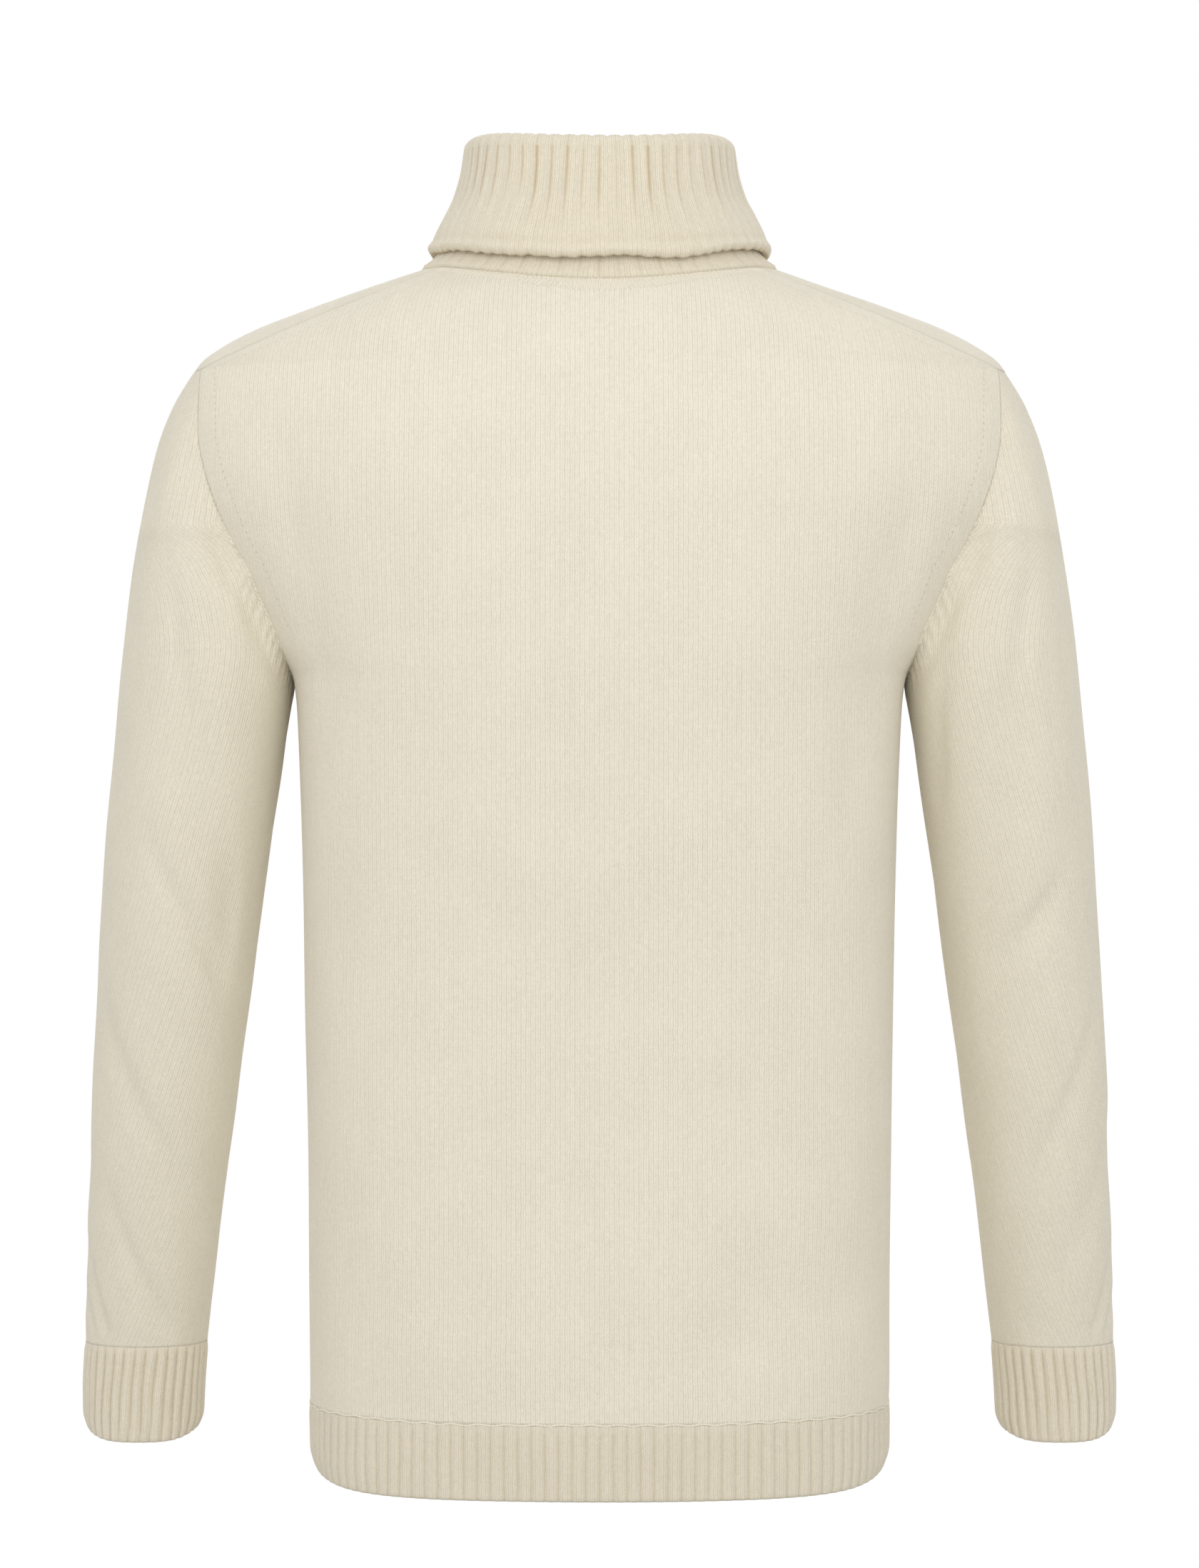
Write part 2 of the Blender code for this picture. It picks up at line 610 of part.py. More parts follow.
# ---------------------------------------------------------------- collar
def collar_profile():
    """Rows of the collar's middle surface from the neck seam, up the stand, round the fold
    and down the fall, with the columns of COLLAR_STAND."""
    turn = np.linspace(0, math.pi, COLLAR_FOLD_STEPS + 1)
    fold = []
    for angle in turn:
        row = COLLAR_FOLD.copy()
        row[0:3] += COLLAR_FOLD_RADIUS * math.sin(angle)
        row[3:6] -= COLLAR_FOLD_RADIUS * math.cos(angle)
        row[6] += COLLAR_FOLD_OPENING_CHANGE * (angle / math.pi - 0.5)
        fold.append(row)
    return np.vstack([COLLAR_STAND, fold, COLLAR_FALL])


def collar_surface(profile, angle):
    """Points of the collar's middle surface, [row, column], at angles from the centre back."""
    back, side, front, half_width, back_depth, front_depth, _, power = profile.T[:, :, None]
    sine, cosine = np.sin(angle), np.cos(angle)
    behind = cosine >= 0
    size = np.abs(cosine)
    z = side + np.where(behind, (back - side) * size ** 2, (front - side) * size ** power)
    y = np.where(behind, back_depth, front_depth) * cosine
    return np.stack([half_width * sine, y, z], axis=-1)


def collar_normals(grid):
    """Directions to the collar's right side, the neck side of the stand and the outside of
    the fall."""
    around = np.gradient(grid, axis=1)
    along = np.gradient(grid, axis=0)
    return unit(np.cross(along, around))


def along_line(line, angle):
    """Points of a seam line, given as [point, xyz], at angles from the centre back."""
    own = np.unwrap(np.arctan2(line[0][:, 0], line[0][:, 1]))
    own -= np.round((own[0] + own[-1]) / 2 / (2 * math.pi)) * 2 * math.pi
    place = np.interp(angle, own, np.arange(len(own)))
    return [np.stack([np.interp(place, np.arange(len(own)), grid[:, axis]) for axis in range(3)], axis=-1)
            for grid in line]


profile = collar_profile()
front_edge = math.pi - np.arcsin(profile[:, 6] / profile[:, 3])


def collar_grids():
    """Right side with two points for each rib, wrong side plain. The first row is the neck
    seam itself."""
    column = np.linspace(-1, 1, 2 * COLLAR_RIBS + 1)
    middle = collar_surface(profile, front_edge[:, None] * column)
    seam_angle = np.arctan2(middle[0, :, 0], middle[0, :, 1])
    seam_outer, seam_inner = along_line(neck_line, seam_angle)
    middle[0] = (seam_outer + seam_inner) / 2
    right = collar_normals(middle)
    first = shared_direction(seam_inner - seam_outer, right[0])
    crest = (np.arange(2 * COLLAR_RIBS + 1) % 2)[None, :, None] * RIB_RAISED
    rib_side = middle + right * (RIB_WALL / 2 + crest)
    plain_side = middle - right * RIB_WALL / 2
    plain_side[0] = seam_outer
    rib_side[0] = seam_outer + first * KNIT_WALL
    draw_in(rib_side, plain_side, np.s_[0], np.s_[1])
    return rib_side, plain_side[:, ::2]


collar_ribs, collar_plain = collar_grids()
wall("collar", collar_ribs, collar_plain, rib_knit)


# ---------------------------------------------------------------- zip
def tape_grids():
    """Tape behind the front's slit, up the neck side of the stand, over the fold and down
    the outside of the fall, beside the front edge. Rows follow the cloth's own rows."""
    across = np.array(TAPE_OFFSETS)
    outer, inner = slit_line
    low_outer, low_inner = below_slit
    share = TAPE_BELOW_SLIT / (EDGE_HEIGHTS[UNDERARM_ROW] - EDGE_HEIGHTS[UNDERARM_ROW - 1])
    first_outer = outer[0] + (low_outer - outer[0]) * share
    first_inner = inner[0] + (low_inner - inner[0]) * share
    outer = np.concatenate([first_outer[None], outer])
    inner = np.concatenate([first_inner[None], inner])
    step = unit(inner[:, 0] - inner[:, 1])
    inward = unit(inner[:, 1] - outer[:, 1])
    on_panel = inner[:, None, 1] + step[:, None] * across[None, :, None] * np.sign(step[:, None, :1])
    chest_near = on_panel + inward[:, None] * TAPE_GAP
    chest_far = chest_near + inward[:, None] * TAPE_THICKNESS
    rows = profile[1:].copy()
    rows[-1] += (rows[-2] - rows[-1]) * TAPE_SHORT_OF_EDGE
    edge = math.pi - np.arcsin(rows[:, 6] / rows[:, 3])
    fine = np.concatenate([[across[0] - MM], across, [across[-1] + MM]])
    middle = collar_surface(rows, edge[:, None] - fine[None, :] / rows[:, 3:4])
    right = collar_normals(middle)[:, 1:-1]
    near = middle[:, 1:-1] + right * (RIB_WALL / 2 + RIB_RAISED + TAPE_GAP)
    far = near + right * TAPE_THICKNESS
    return np.concatenate([chest_near, near]), np.concatenate([chest_far, far])


def prism(name, outline, axis, half_length, made_material, middle=(0.0, 0.0, 0.0)):
    """Straight solid with its outline across the axis, x being 0 and y being 1, centred on
    `middle`. The outline's pairs are the other two coordinates in order."""
    bm = bmesh.new()
    ends = []
    for end in (-half_length, half_length):
        ends.append([bm.verts.new(np.insert(pair, axis, end) + middle) for pair in outline])
    bm.faces.new(ends[0])
    bm.faces.new(ends[1])
    for i in range(len(outline)):
        after = (i + 1) % len(outline)
        bm.faces.new((ends[0][i], ends[0][after], ends[1][after], ends[1][i]))
    return object_from(name, bm, made_material)


def rectangle(low_a, high_a, low_b, high_b):
    return [(low_a, low_b), (high_a, low_b), (high_a, high_b), (low_a, high_b)]


def combine(target, tool, operation):
    """Join the tool to the target, or cut it out, and leave the tool as a guide."""
    boolean = target.modifiers.new(tool.name, "BOOLEAN")
    boolean.operation = operation
    boolean.object = tool
    tool.hide_render = True
    tool.display_type = "WIRE"


for side, flip in (("left", np.ones(3)), ("right", mirrored)):
    tape_near, tape_far = tape_grids()
    wall(f"zip_tape_{side}", tape_near * flip, tape_far * flip, tape_cloth)


# Slider: a body in the stand's slit, with a bridge over its face that the pull tab hangs on
slider_width, slider_depth, slider_length = SLIDER_SIZE
slider = prism(
    "zip_slider",
    rectangle(SLIDER_FACE, SLIDER_FACE + slider_depth,
              SLIDER_HEIGHT - slider_length / 2, SLIDER_HEIGHT + slider_length / 2),
    0, slider_width / 2, steel)
bridge_under = SLIDER_FACE - BRIDGE_CLEARANCE
bridge_top = bridge_under - BRIDGE_THICKNESS
bridge_root = SLIDER_FACE + BRIDGE_THICKNESS
bridge_end = BRIDGE_LENGTH / 2
bridge_inside = bridge_end - BRIDGE_THICKNESS
bridge = prism(
    "bridge_of_slider",
    [(bridge_root, -bridge_end), (bridge_top, -bridge_end), (bridge_top, bridge_end),
     (bridge_root, bridge_end), (bridge_root, bridge_inside), (bridge_under, bridge_inside),
     (bridge_under, -bridge_inside), (bridge_root, -bridge_inside)],
    0, BRIDGE_WIDTH / 2, steel, middle=(0.0, 0.0, SLIDER_HEIGHT))
combine(slider, bridge, "UNION")

# Pull tab: a plate whose top bar passes under the bridge, with its origin on the hinge axis
pull_bar = PULL_THICKNESS / 2
pull = prism(
    "zip_pull",
    rectangle(-PULL_WIDTH / 2, PULL_WIDTH / 2, -PULL_LENGTH, pull_bar),
    1, PULL_THICKNESS / 2, steel)
pull_hole = prism(
    "hole_of_pull",
    rectangle(-PULL_HOLE_HALF_WIDTH, PULL_HOLE_HALF_WIDTH, -PULL_HOLE_LENGTH, -pull_bar),
    1, PULL_THICKNESS, steel)
combine(pull, pull_hole, "DIFFERENCE")
pull.location = (0.0, SLIDER_FACE - PULL_PIVOT_OUT, SLIDER_HEIGHT - PULL_PIVOT_BELOW_SLIDER)
pull_hole.location = pull.location

# Bottom stop: on the tapes' front, at the foot of the slit
stop_width, stop_depth, stop_height = STOP_SIZE
stop_back = slit_line[1][0, 1, 1]
stop_foot = UNDERARM + TAPE_GAP
prism("zip_bottom_stop",
      rectangle(stop_back - stop_depth, stop_back, stop_foot, stop_foot + stop_height),
      0, stop_width / 2, steel)
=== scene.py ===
"""Looks of a cream half-zip sweater in its worn shape: front towards -Y, back towards +Y, metres."""
import math

import bpy
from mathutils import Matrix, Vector
import numpy as np


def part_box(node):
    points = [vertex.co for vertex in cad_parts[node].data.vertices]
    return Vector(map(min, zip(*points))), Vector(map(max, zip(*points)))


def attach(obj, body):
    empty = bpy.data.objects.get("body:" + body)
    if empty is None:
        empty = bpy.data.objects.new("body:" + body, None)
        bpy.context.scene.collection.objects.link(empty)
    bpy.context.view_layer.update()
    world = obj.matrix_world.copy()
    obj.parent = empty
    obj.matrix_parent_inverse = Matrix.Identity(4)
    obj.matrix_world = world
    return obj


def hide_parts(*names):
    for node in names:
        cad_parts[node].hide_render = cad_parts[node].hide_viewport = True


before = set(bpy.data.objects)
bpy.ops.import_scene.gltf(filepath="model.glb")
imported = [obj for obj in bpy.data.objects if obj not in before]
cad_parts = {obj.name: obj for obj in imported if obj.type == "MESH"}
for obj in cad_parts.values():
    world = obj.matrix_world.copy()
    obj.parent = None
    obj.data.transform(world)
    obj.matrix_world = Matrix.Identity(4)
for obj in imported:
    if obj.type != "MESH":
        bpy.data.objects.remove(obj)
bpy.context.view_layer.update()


# ---------------------------------------------------------------- back panel
# One fully fashioned panel of fine stocking stitch in soft-spun lambswool, knitted to shape
# from the hem up. Its narrowings leave a dotted line beside each armhole, and its top is
# bound off along the shoulders and the back of the neck.
MM = 0.001
HEM_TOP = -641.0 * MM
UNDERARM = -232.0 * MM
SHOULDER_POINT = -55.0 * MM
NECK_POINT = 2.1 * MM
NECK_CREST = 3.3 * MM
NECK_HALF_WIDTH = 101.0 * MM
BACK_NECK_DROP, BACK_NECK_POWER, BACK_DROP_REACH = 12.9 * MM, 3.3, -60.0 * MM
FRONT_NECK_DROP, FRONT_NECK_POWER, FRONT_DROP_REACH = 69.3 * MM, 2.4, -205.0 * MM
KNIT_WALL = 2.5 * MM
SEAM_WIDTH = 2.6 * MM
SEAM_PINCH, SEAM_PINCH_HIGH = 0.72, 0.94
PINCH_EASES_FROM, PINCH_EASES_OVER = -190.0 * MM, 45.0 * MM
STILL_EDGE = 14.0 * MM
WALE, COURSE = 2.7 * MM, 2.05 * MM
MARKS_IN, MARK_HALF_WIDTH, MARKS_FROM, NO_MARKS = 16.0 * MM, 1.1 * MM, -206.0 * MM, 1.0

# Level sections: height, half width, depth to the back, depth to the front (mm), roundness
BODY = np.array([
    (3.3, 101.0, 72.0, 56.0, 1.80), (-4.9, 124.5, 77.0, 60.0, 1.80), (-11.0, 142.8, 81.0, 63.0, 1.81),
    (-17.1, 160.6, 84.0, 65.5, 1.82), (-23.3, 177.2, 87.0, 68.0, 1.84), (-29.4, 192.8, 90.0, 70.5, 1.86),
    (-40.0, 214.0, 94.0, 75.0, 1.90), (-50.0, 228.0, 97.5, 79.5, 1.95), (-60.0, 234.0, 100.5, 84.0, 2.00),
    (-75.0, 239.0, 104.5, 91.0, 2.05), (-90.0, 241.0, 108.0, 98.0, 2.08),
    (-110.0, 241.0, 111.0, 107.0, 2.10), (-130.0, 236.0, 113.0, 115.0, 2.12),
    (-150.0, 226.0, 113.6, 119.5, 2.14),
    (-170.0, 213.0, 114.0, 122.5, 2.18), (-190.0, 200.0, 113.9, 124.4, 2.24),
    (-210.0, 187.0, 113.2, 125.0, 2.34), (-232.0, 174.0, 112.0, 125.0, 2.50),
    (-254.0, 171.8, 110.5, 123.5, 2.50), (-335.0, 169.3, 105.0, 116.0, 2.50),
    (-417.0, 167.5, 101.3, 110.5, 2.50), (-499.0, 166.1, 102.0, 109.6, 2.50),
    (-580.0, 165.2, 106.0, 110.8, 2.50), (-684.0, 164.6, 110.0, 112.0, 2.50),
])[::-1] * (MM, MM, MM, MM, 1.0)
# Armhole seam and shoulder seam: height, distance from the middle (mm)
ARMHOLE = np.array([
    (-232.0, 174.0), (-222.0, 176.7), (-206.0, 181.6), (-187.0, 190.0), (-168.0, 198.0), (-158.0, 204.0),
    (-147.0, 209.5), (-129.0, 217.0), (-110.0, 223.0), (-93.0, 226.0), (-60.0, 226.5), (-55.0, 226.0),
]) * MM
SHOULDER_SEAM = np.array([(-55.0, 226.0), (-48.0, 208.0), (-36.0, 180.0), (-18.0, 137.0), (2.1, 88.0)]) * MM


def curve(keys, values, at):
    """Smooth curve through (keys, values) with no overshoot: cubic pieces whose slope at each
    key is the harmonic mean of the slopes beside it."""
    at = np.clip(at, keys[0], keys[-1])
    step = np.diff(keys)
    slope = np.diff(values) / step
    product = slope[:-1] * slope[1:]
    total = slope[:-1] + slope[1:]
    inner = np.where(product > 0, 2 * product / np.where(product > 0, total, 1), 0.0)
    tangent = np.concatenate(([slope[0]], inner, [slope[-1]]))
    i = np.clip(np.searchsorted(keys, at, side="right") - 1, 0, len(step) - 1)
    t = (at - keys[i]) / step[i]
    rise = t * t * (3 - 2 * t)
    bend = t * (1 - t)
    return (values[i] * (1 - rise) + values[i + 1] * rise
            + step[i] * bend * ((1 - t) * tangent[i] - t * tangent[i + 1]))


def smooth_step(t):
    """0 below 0, 1 above 1, and an S-curve between."""
    t = np.clip(t, 0.0, 1.0)
    return t * t * (3 - 2 * t)


def unit(vectors):
    """Vectors scaled to length 1."""
    return vectors / np.maximum(np.linalg.norm(vectors, axis=-1, keepdims=True), 1e-12)


def section(height):
    """Half width, back depth, front depth and roundness of the figure at a height."""
    return [curve(BODY[:, 0], BODY[:, column], height) for column in range(1, 5)]


def angle_at(x, height):
    """Angle from the centre line where the level section passes x: the arc sine of
    (x / half width) ** (power / 2)."""
    half_width, _, _, power = section(height)
    return np.arcsin(np.clip(x / half_width, 0.0, 1.0) ** (power / 2))


def figure(angle, height):
    """Point of the worn figure and its outward direction, for an angle from the centre back.
    The level section is |x / half width| ** power + |y / depth| ** power = 1."""
    angle, height = np.broadcast_arrays(angle, height)
    half_width, back, front, power = section(height)
    sine, cosine = np.sin(angle), np.cos(angle)
    depth = np.where(cosine >= 0, back, front)
    x = np.sign(sine) * half_width * np.abs(sine) ** (2 / power)
    y = np.sign(cosine) * depth * np.abs(cosine) ** (2 / power)
    nearby = 0.5 * MM
    wide_above, back_above, front_above, _ = section(height + nearby)
    wide_below, back_below, front_below, _ = section(height - nearby)
    wide_slope = (wide_above - wide_below) / (2 * nearby)
    deep_slope = np.where(cosine >= 0, back_above - back_below, front_above - front_below) / (2 * nearby)
    steep = 2 * (power - 1) / power
    outward = np.stack([
        np.sign(sine) * np.abs(sine) ** steep / half_width,
        np.sign(cosine) * np.abs(cosine) ** steep / depth,
        -(sine ** 2 * wide_slope / half_width + cosine ** 2 * deep_slope / depth),
    ], axis=-1)
    return np.stack([x, y, height], axis=-1), unit(outward)


def armhole_angle(height):
    """Angle from the centre line of the armhole seam at a height."""
    return angle_at(curve(ARMHOLE[:, 0], ARMHOLE[:, 1], height), height)


def shoulder_angle(height):
    """Angle from the centre line of the shoulder seam at a height."""
    return angle_at(curve(SHOULDER_SEAM[:, 0], SHOULDER_SEAM[:, 1], height), height)


def neck_height(angle):
    """Height of the neck seam: its crest, less a drop that grows as a power of the cosine."""
    cosine = np.cos(angle)
    drop = np.where(cosine >= 0, BACK_NECK_DROP * np.abs(cosine) ** BACK_NECK_POWER,
                    FRONT_NECK_DROP * np.abs(cosine) ** FRONT_NECK_POWER)
    return NECK_CREST - drop


def walked(points, axis):
    """Length walked along one direction of a grid of points, from its first line."""
    step = np.linalg.norm(np.diff(points, axis=axis), axis=-1)
    return np.concatenate([np.zeros_like(np.take(step, [0], axis)), np.cumsum(step, axis)], axis)


def read_along(at, length, values):
    """Points or directions of a line, read between its own at the given lengths."""
    return np.stack([np.interp(at, length, column) for column in values.T], axis=-1)


def closer_at_ends(count, share):
    """Fractions from 0 to 1 whose steps shrink towards both ends: t less a part of a sine."""
    t = np.linspace(0, 1, count + 1)
    return t - share * np.sin(2 * math.pi * t) / (2 * math.pi)


def even_across(size, edge, height, start=0.0, turn=1.0):
    """Share of the edge's distance from the middle that lies `size` of the way round to it.
    The front is measured from the angle `start` of its middle with a turn of -1."""
    way = np.linspace(0, 1, 120)
    points, _ = figure(start + turn * edge[:, None] * way, np.repeat(height[:, None], len(way), axis=1))
    length = walked(points, 1)
    return np.array([np.interp(size * l[-1], l, p[:, 0] / p[-1, 0]) for l, p in zip(length, points)])


def folds(across, along, table):
    """Soft creases as listed, as a depth at each point. A crease is a row of bells along
    a curve (first point, bend, last point), fading to both ends; where bells overlap the
    deepest counts. Its far side is narrower than its near one by its skew. Lengths in mm."""
    total = np.zeros_like(across)
    for start, bend, end, width, skew, depth in table:
        deepest = np.zeros_like(across)
        route = list(zip(start, bend, end))
        for t in np.linspace(0.02, 0.98, 22):
            a, b = [((1 - t) ** 2 * p + 2 * t * (1 - t) * q + t * t * r) * MM for p, q, r in route]
            lead_a, lead_b = [2 * (1 - t) * (q - p) + 2 * t * (r - q) for p, q, r in route]
            size = math.hypot(lead_a, lead_b)
            off_a, off_b = across - a, along - b
            beside = (off_b * lead_a - off_a * lead_b) / size
            ahead = (off_a * lead_a + off_b * lead_b) / size
            reach = width * MM * (1 - skew * np.tanh(beside / (0.4 * width * MM)))
            bell = np.exp(-(beside / reach) ** 2 - (ahead / (width * MM)) ** 2)
            deepest = np.maximum(deepest, math.sin(math.pi * t) ** 0.8 * bell)
        total += depth * MM * deepest
    return total


def unevenness(across, along, seed, size, amount):
    """Very soft unevenness: six crossing waves of lengths about `size`, meaned and scaled."""
    draw = np.random.default_rng(seed)
    total = np.zeros_like(across)
    for _ in range(6):
        turn, phase = draw.uniform(0, math.pi), draw.uniform(0, 2 * math.pi)
        length = size * draw.uniform(0.7, 1.6)
        total += np.sin((across * math.cos(turn) + along * math.sin(turn)) / length * 2 * math.pi + phase)
    return total / 6 * amount


def fullness(distance, reach, least):
    """Share of the wall's thickness left near an edge: a quarter circle from least to 1."""
    t = np.clip(distance / reach, 0, 1)
    return least + (1 - least) * np.sqrt(1 - (1 - t) ** 2)


def pinch(height):
    """Thickness left at a seam: firm low on the armhole, hardly pinched from its middle up,
    with an S-curve between."""
    eased = smooth_step((height - PINCH_EASES_FROM) / PINCH_EASES_OVER)
    return SEAM_PINCH + (SEAM_PINCH_HIGH - SEAM_PINCH) * eased


def wall(outer, inner, share):
    """Both faces of a wall drawn in towards its middle until `share` of the thickness is left."""
    drawn = (outer - inner) / 2 * (1 - share[..., None])
    return outer - drawn, inner + drawn


def knitted_wall(points, outward, sway, share):
    """Both faces of plain knit: the figure moved out by its creases, the wall's thickness
    inside that, and both drawn in at the seams."""
    outer = points + outward * sway[..., None]
    return wall(outer, outer - outward * KNIT_WALL, share)


def add_object(name, data):
    """Object of a mesh, light or camera, at the origin and linked to the scene."""
    made = bpy.data.objects.new(name, data)
    bpy.context.scene.collection.objects.link(made)
    return made


def fasten(piece, slot, *nodes, body="garment"):
    """Makes a piece ride on its body and stand for CAD nodes, hiding their parts; its slot is not used."""
    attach(piece, body)
    if nodes:
        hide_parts(*nodes)


def cloth_mesh(name, outer, inner, surface, painted_shade_amount, looks, closed=False, present=None, edge=None):
    """Closed mesh of a cloth wall from two grids [row, column, xyz]. Each cell gives a quad
    outside and one inside, and each open side of the cloth a rim; `present` leaves cells out.
    `surface` is the stitch position in metres, one column longer on a tube; the grid after it gives painted
    shade, how far the colour is darkened in furrows, seams and under edges; and `edge` is the distance
    from the armhole that the dotted line follows."""
    rows, columns = outer.shape[:2]
    cells = columns if closed else columns - 1
    if present is None:
        present = np.ones((rows - 1, cells), dtype=bool)
    row, column = np.nonzero(present)
    wide = surface.shape[1]

    def corner(r, c, layer):
        return np.stack([layer * rows * columns + r * columns + c % columns, r * wide + c], axis=-1)

    outside = np.stack([corner(row, column, 0), corner(row, column + 1, 0),
                        corner(row + 1, column + 1, 0), corner(row + 1, column, 0)], axis=1)
    inside = np.stack([corner(row, column, 1), corner(row + 1, column, 1),
                       corner(row + 1, column + 1, 1), corner(row, column + 1, 1)], axis=1)
    framed = np.pad(present, 1)
    if closed:
        framed[:, 0], framed[:, -1] = framed[:, -2], framed[:, 1]
    rims = []
    for (dr, dc), (r0, c0), (r1, c1) in (((-1, 0), (0, 1), (0, 0)), ((1, 0), (1, 0), (1, 1)),
                                         ((0, -1), (0, 0), (1, 0)), ((0, 1), (1, 1), (0, 1))):
        bare = present & ~framed[1 + dr:rows + dr, 1 + dc:cells + 1 + dc]
        r, c = np.nonzero(bare)
        rims.append(np.stack([corner(r + r0, c + c0, 0), corner(r + r1, c + c1, 0),
                              corner(r + r1, c + c1, 1), corner(r + r0, c + c0, 1)], axis=1))
    faces = np.concatenate([outside, inside] + rims)
    which = np.concatenate([np.zeros(len(outside)), np.ones(len(inside)), np.zeros(sum(map(len, rims)))])
    points = np.concatenate([outer, inner]).reshape(-1, 3)
    sides = points[outside[:, :, 0]]
    facing = np.cross(sides[:, 1] - sides[:, 0], sides[:, 3] - sides[:, 0])
    out = points[outside[:, 0, 0]] - points[inside[:, 0, 0]]
    if np.sum(facing * out) < 0:
        faces = faces[:, ::-1]
    used, numbered = np.unique(faces[..., 0], return_inverse=True)
    mesh = bpy.data.meshes.new(name)
    mesh.from_pydata(points[used].tolist(), [], numbered.reshape(-1, 4).tolist())
    stitch_map = mesh.uv_layers.new(name="stitches")
    spots = surface.reshape(-1, 2)[faces[..., 1].reshape(-1)]
    stitch_map.data.foreach_set("uv", spots.astype(np.float32).reshape(-1))
    # The painted shade grid is stored for the material, beside the distance from the seam.
    for label, grid in (("painted_shade_amount", painted_shade_amount), ("from_seam", edge)):
        if grid is not None:
            store = mesh.attributes.new(label, "FLOAT", "POINT")
            both = np.concatenate([grid.reshape(-1)] * 2)[used]
            store.data.foreach_set("value", both.astype(np.float32))
    for look in looks:
        mesh.materials.append(look)
    mesh.polygons.foreach_set("material_index", which.astype(np.int32))
    mesh.shade_smooth()
    mesh.update()
    return add_object(name, mesh)


def place(tree, kind, inputs, **options):
    """Add a node, set its options and feed its inputs by links or values; gives its first output."""
    made = tree.nodes.new(kind)
    for option, value in options.items():
        setattr(made, option, value)
    for socket, value in inputs.items():
        if isinstance(value, bpy.types.NodeSocket):
            tree.links.new(value, made.inputs[socket])
        else:
            made.inputs[socket].default_value = value
    return made.outputs[0]


def calc(tree, operation, a, b=0.0, c=0.0):
    """One step of arithmetic in a shader."""
    return place(tree, "ShaderNodeMath", {0: a, 1: b, 2: c}, operation=operation)


def times(tree, a, b):
    """Product of two values in a shader."""
    return calc(tree, "MULTIPLY", a, b)


def noise(tree, spot, scale, detail, roughness=0.5):
    """Noise texture read at a place."""
    return place(tree, "ShaderNodeTexNoise",
                 {"Vector": spot, "Scale": scale, "Detail": detail, "Roughness": roughness})


def blend_colours(tree, share, a, b, way="MIX"):
    """Colour between a and b by a share, or their product."""
    made = place(tree, "ShaderNodeMix", {0: share, 6: a, 7: b}, data_type="RGBA", blend_type=way)
    return made.node.outputs[2]


def node_group(name, inputs, outputs):
    """Empty shader group with its named sockets; gives the group, its inputs and its outputs."""
    group = bpy.data.node_groups.new(name, "ShaderNodeTree")
    for label, kind, value in inputs:
        socket = group.interface.new_socket(label, in_out="INPUT", socket_type=kind)
        if value is not None:
            socket.default_value = value
    for label, kind in outputs:
        group.interface.new_socket(label, in_out="OUTPUT", socket_type=kind)
    return group, group.nodes.new("NodeGroupInput").outputs, group.nodes.new("NodeGroupOutput").inputs


def round_top(tree, t):
    """Half circle over 0 to 1: the square root of 1 - (2t - 1) squared."""
    centred = calc(tree, "MULTIPLY_ADD", t, 2.0, -1.0)
    under = calc(tree, "SUBTRACT", 1.0, times(tree, centred, centred))
    return calc(tree, "SQRT", calc(tree, "MAXIMUM", under, 0.0))


def stitch_group():
    """Stocking stitch on the stitch map: each wale holds two legs that rise to its borders as
    a V, each leg a round yarn across and a round loop along. Purl gives the wrong side's arcs."""
    group, given, result = node_group(
        "Stocking stitch",
        [("Surface", "NodeSocketVector", None), ("Wale", "NodeSocketFloat", WALE),
         ("Course", "NodeSocketFloat", COURSE), ("Purl", "NodeSocketFloat", 0.0)],
        [("Height", "NodeSocketFloat"), ("Furrow", "NodeSocketFloat"), ("Streak", "NodeSocketFloat")])
    yarn_wander, leg_slant, middle_height, loop_depth, arc = (0.0011, 0.0009, 0.0), -0.85, 0.62, 0.42, 0.2
    wander = noise(group, given["Surface"], 230.0, 1.0).node.outputs["Color"]
    shift = place(group, "ShaderNodeVectorMath", {0: wander, 1: (0.5, 0.5, 0.5)}, operation="SUBTRACT")
    bent = place(group, "ShaderNodeVectorMath", {0: shift, 1: yarn_wander, 2: given["Surface"]},
                 operation="MULTIPLY_ADD")
    split = place(group, "ShaderNodeSeparateXYZ", {0: bent}).node.outputs
    across = calc(group, "DIVIDE", split["X"], given["Wale"])
    along = calc(group, "DIVIDE", split["Y"], given["Course"])
    off_middle = calc(group, "ABSOLUTE", calc(group, "SUBTRACT", calc(group, "FRACT", across), 0.5))
    outwards = times(group, off_middle, 2.0)
    loop = round_top(group, calc(group, "FRACT", calc(group, "MULTIPLY_ADD", outwards, leg_slant, along)))
    middle = times(group, calc(group, "SUBTRACT", 1.0, outwards), middle_height)
    crest = calc(group, "MAXIMUM", round_top(group, outwards), middle)
    knit = times(group, crest, calc(group, "MULTIPLY_ADD", loop, loop_depth, 1.0 - loop_depth))
    wave = times(group, calc(group, "SINE", times(group, across, 2 * math.pi)), arc)
    purl = round_top(group, calc(group, "FRACT", calc(group, "ADD", along, wave)))
    height = place(group, "ShaderNodeMix", {0: given["Purl"], 2: knit, 3: purl})
    drawn_out = place(group, "ShaderNodeVectorMath", {0: given["Surface"], 1: (420.0, 14.0, 1.0)},
                      operation="MULTIPLY")
    group.links.new(height, result["Height"])
    group.links.new(calc(group, "SUBTRACT", 1.0, height), result["Furrow"])
    group.links.new(noise(group, drawn_out, 1.0, 2.0), result["Streak"])
    return group


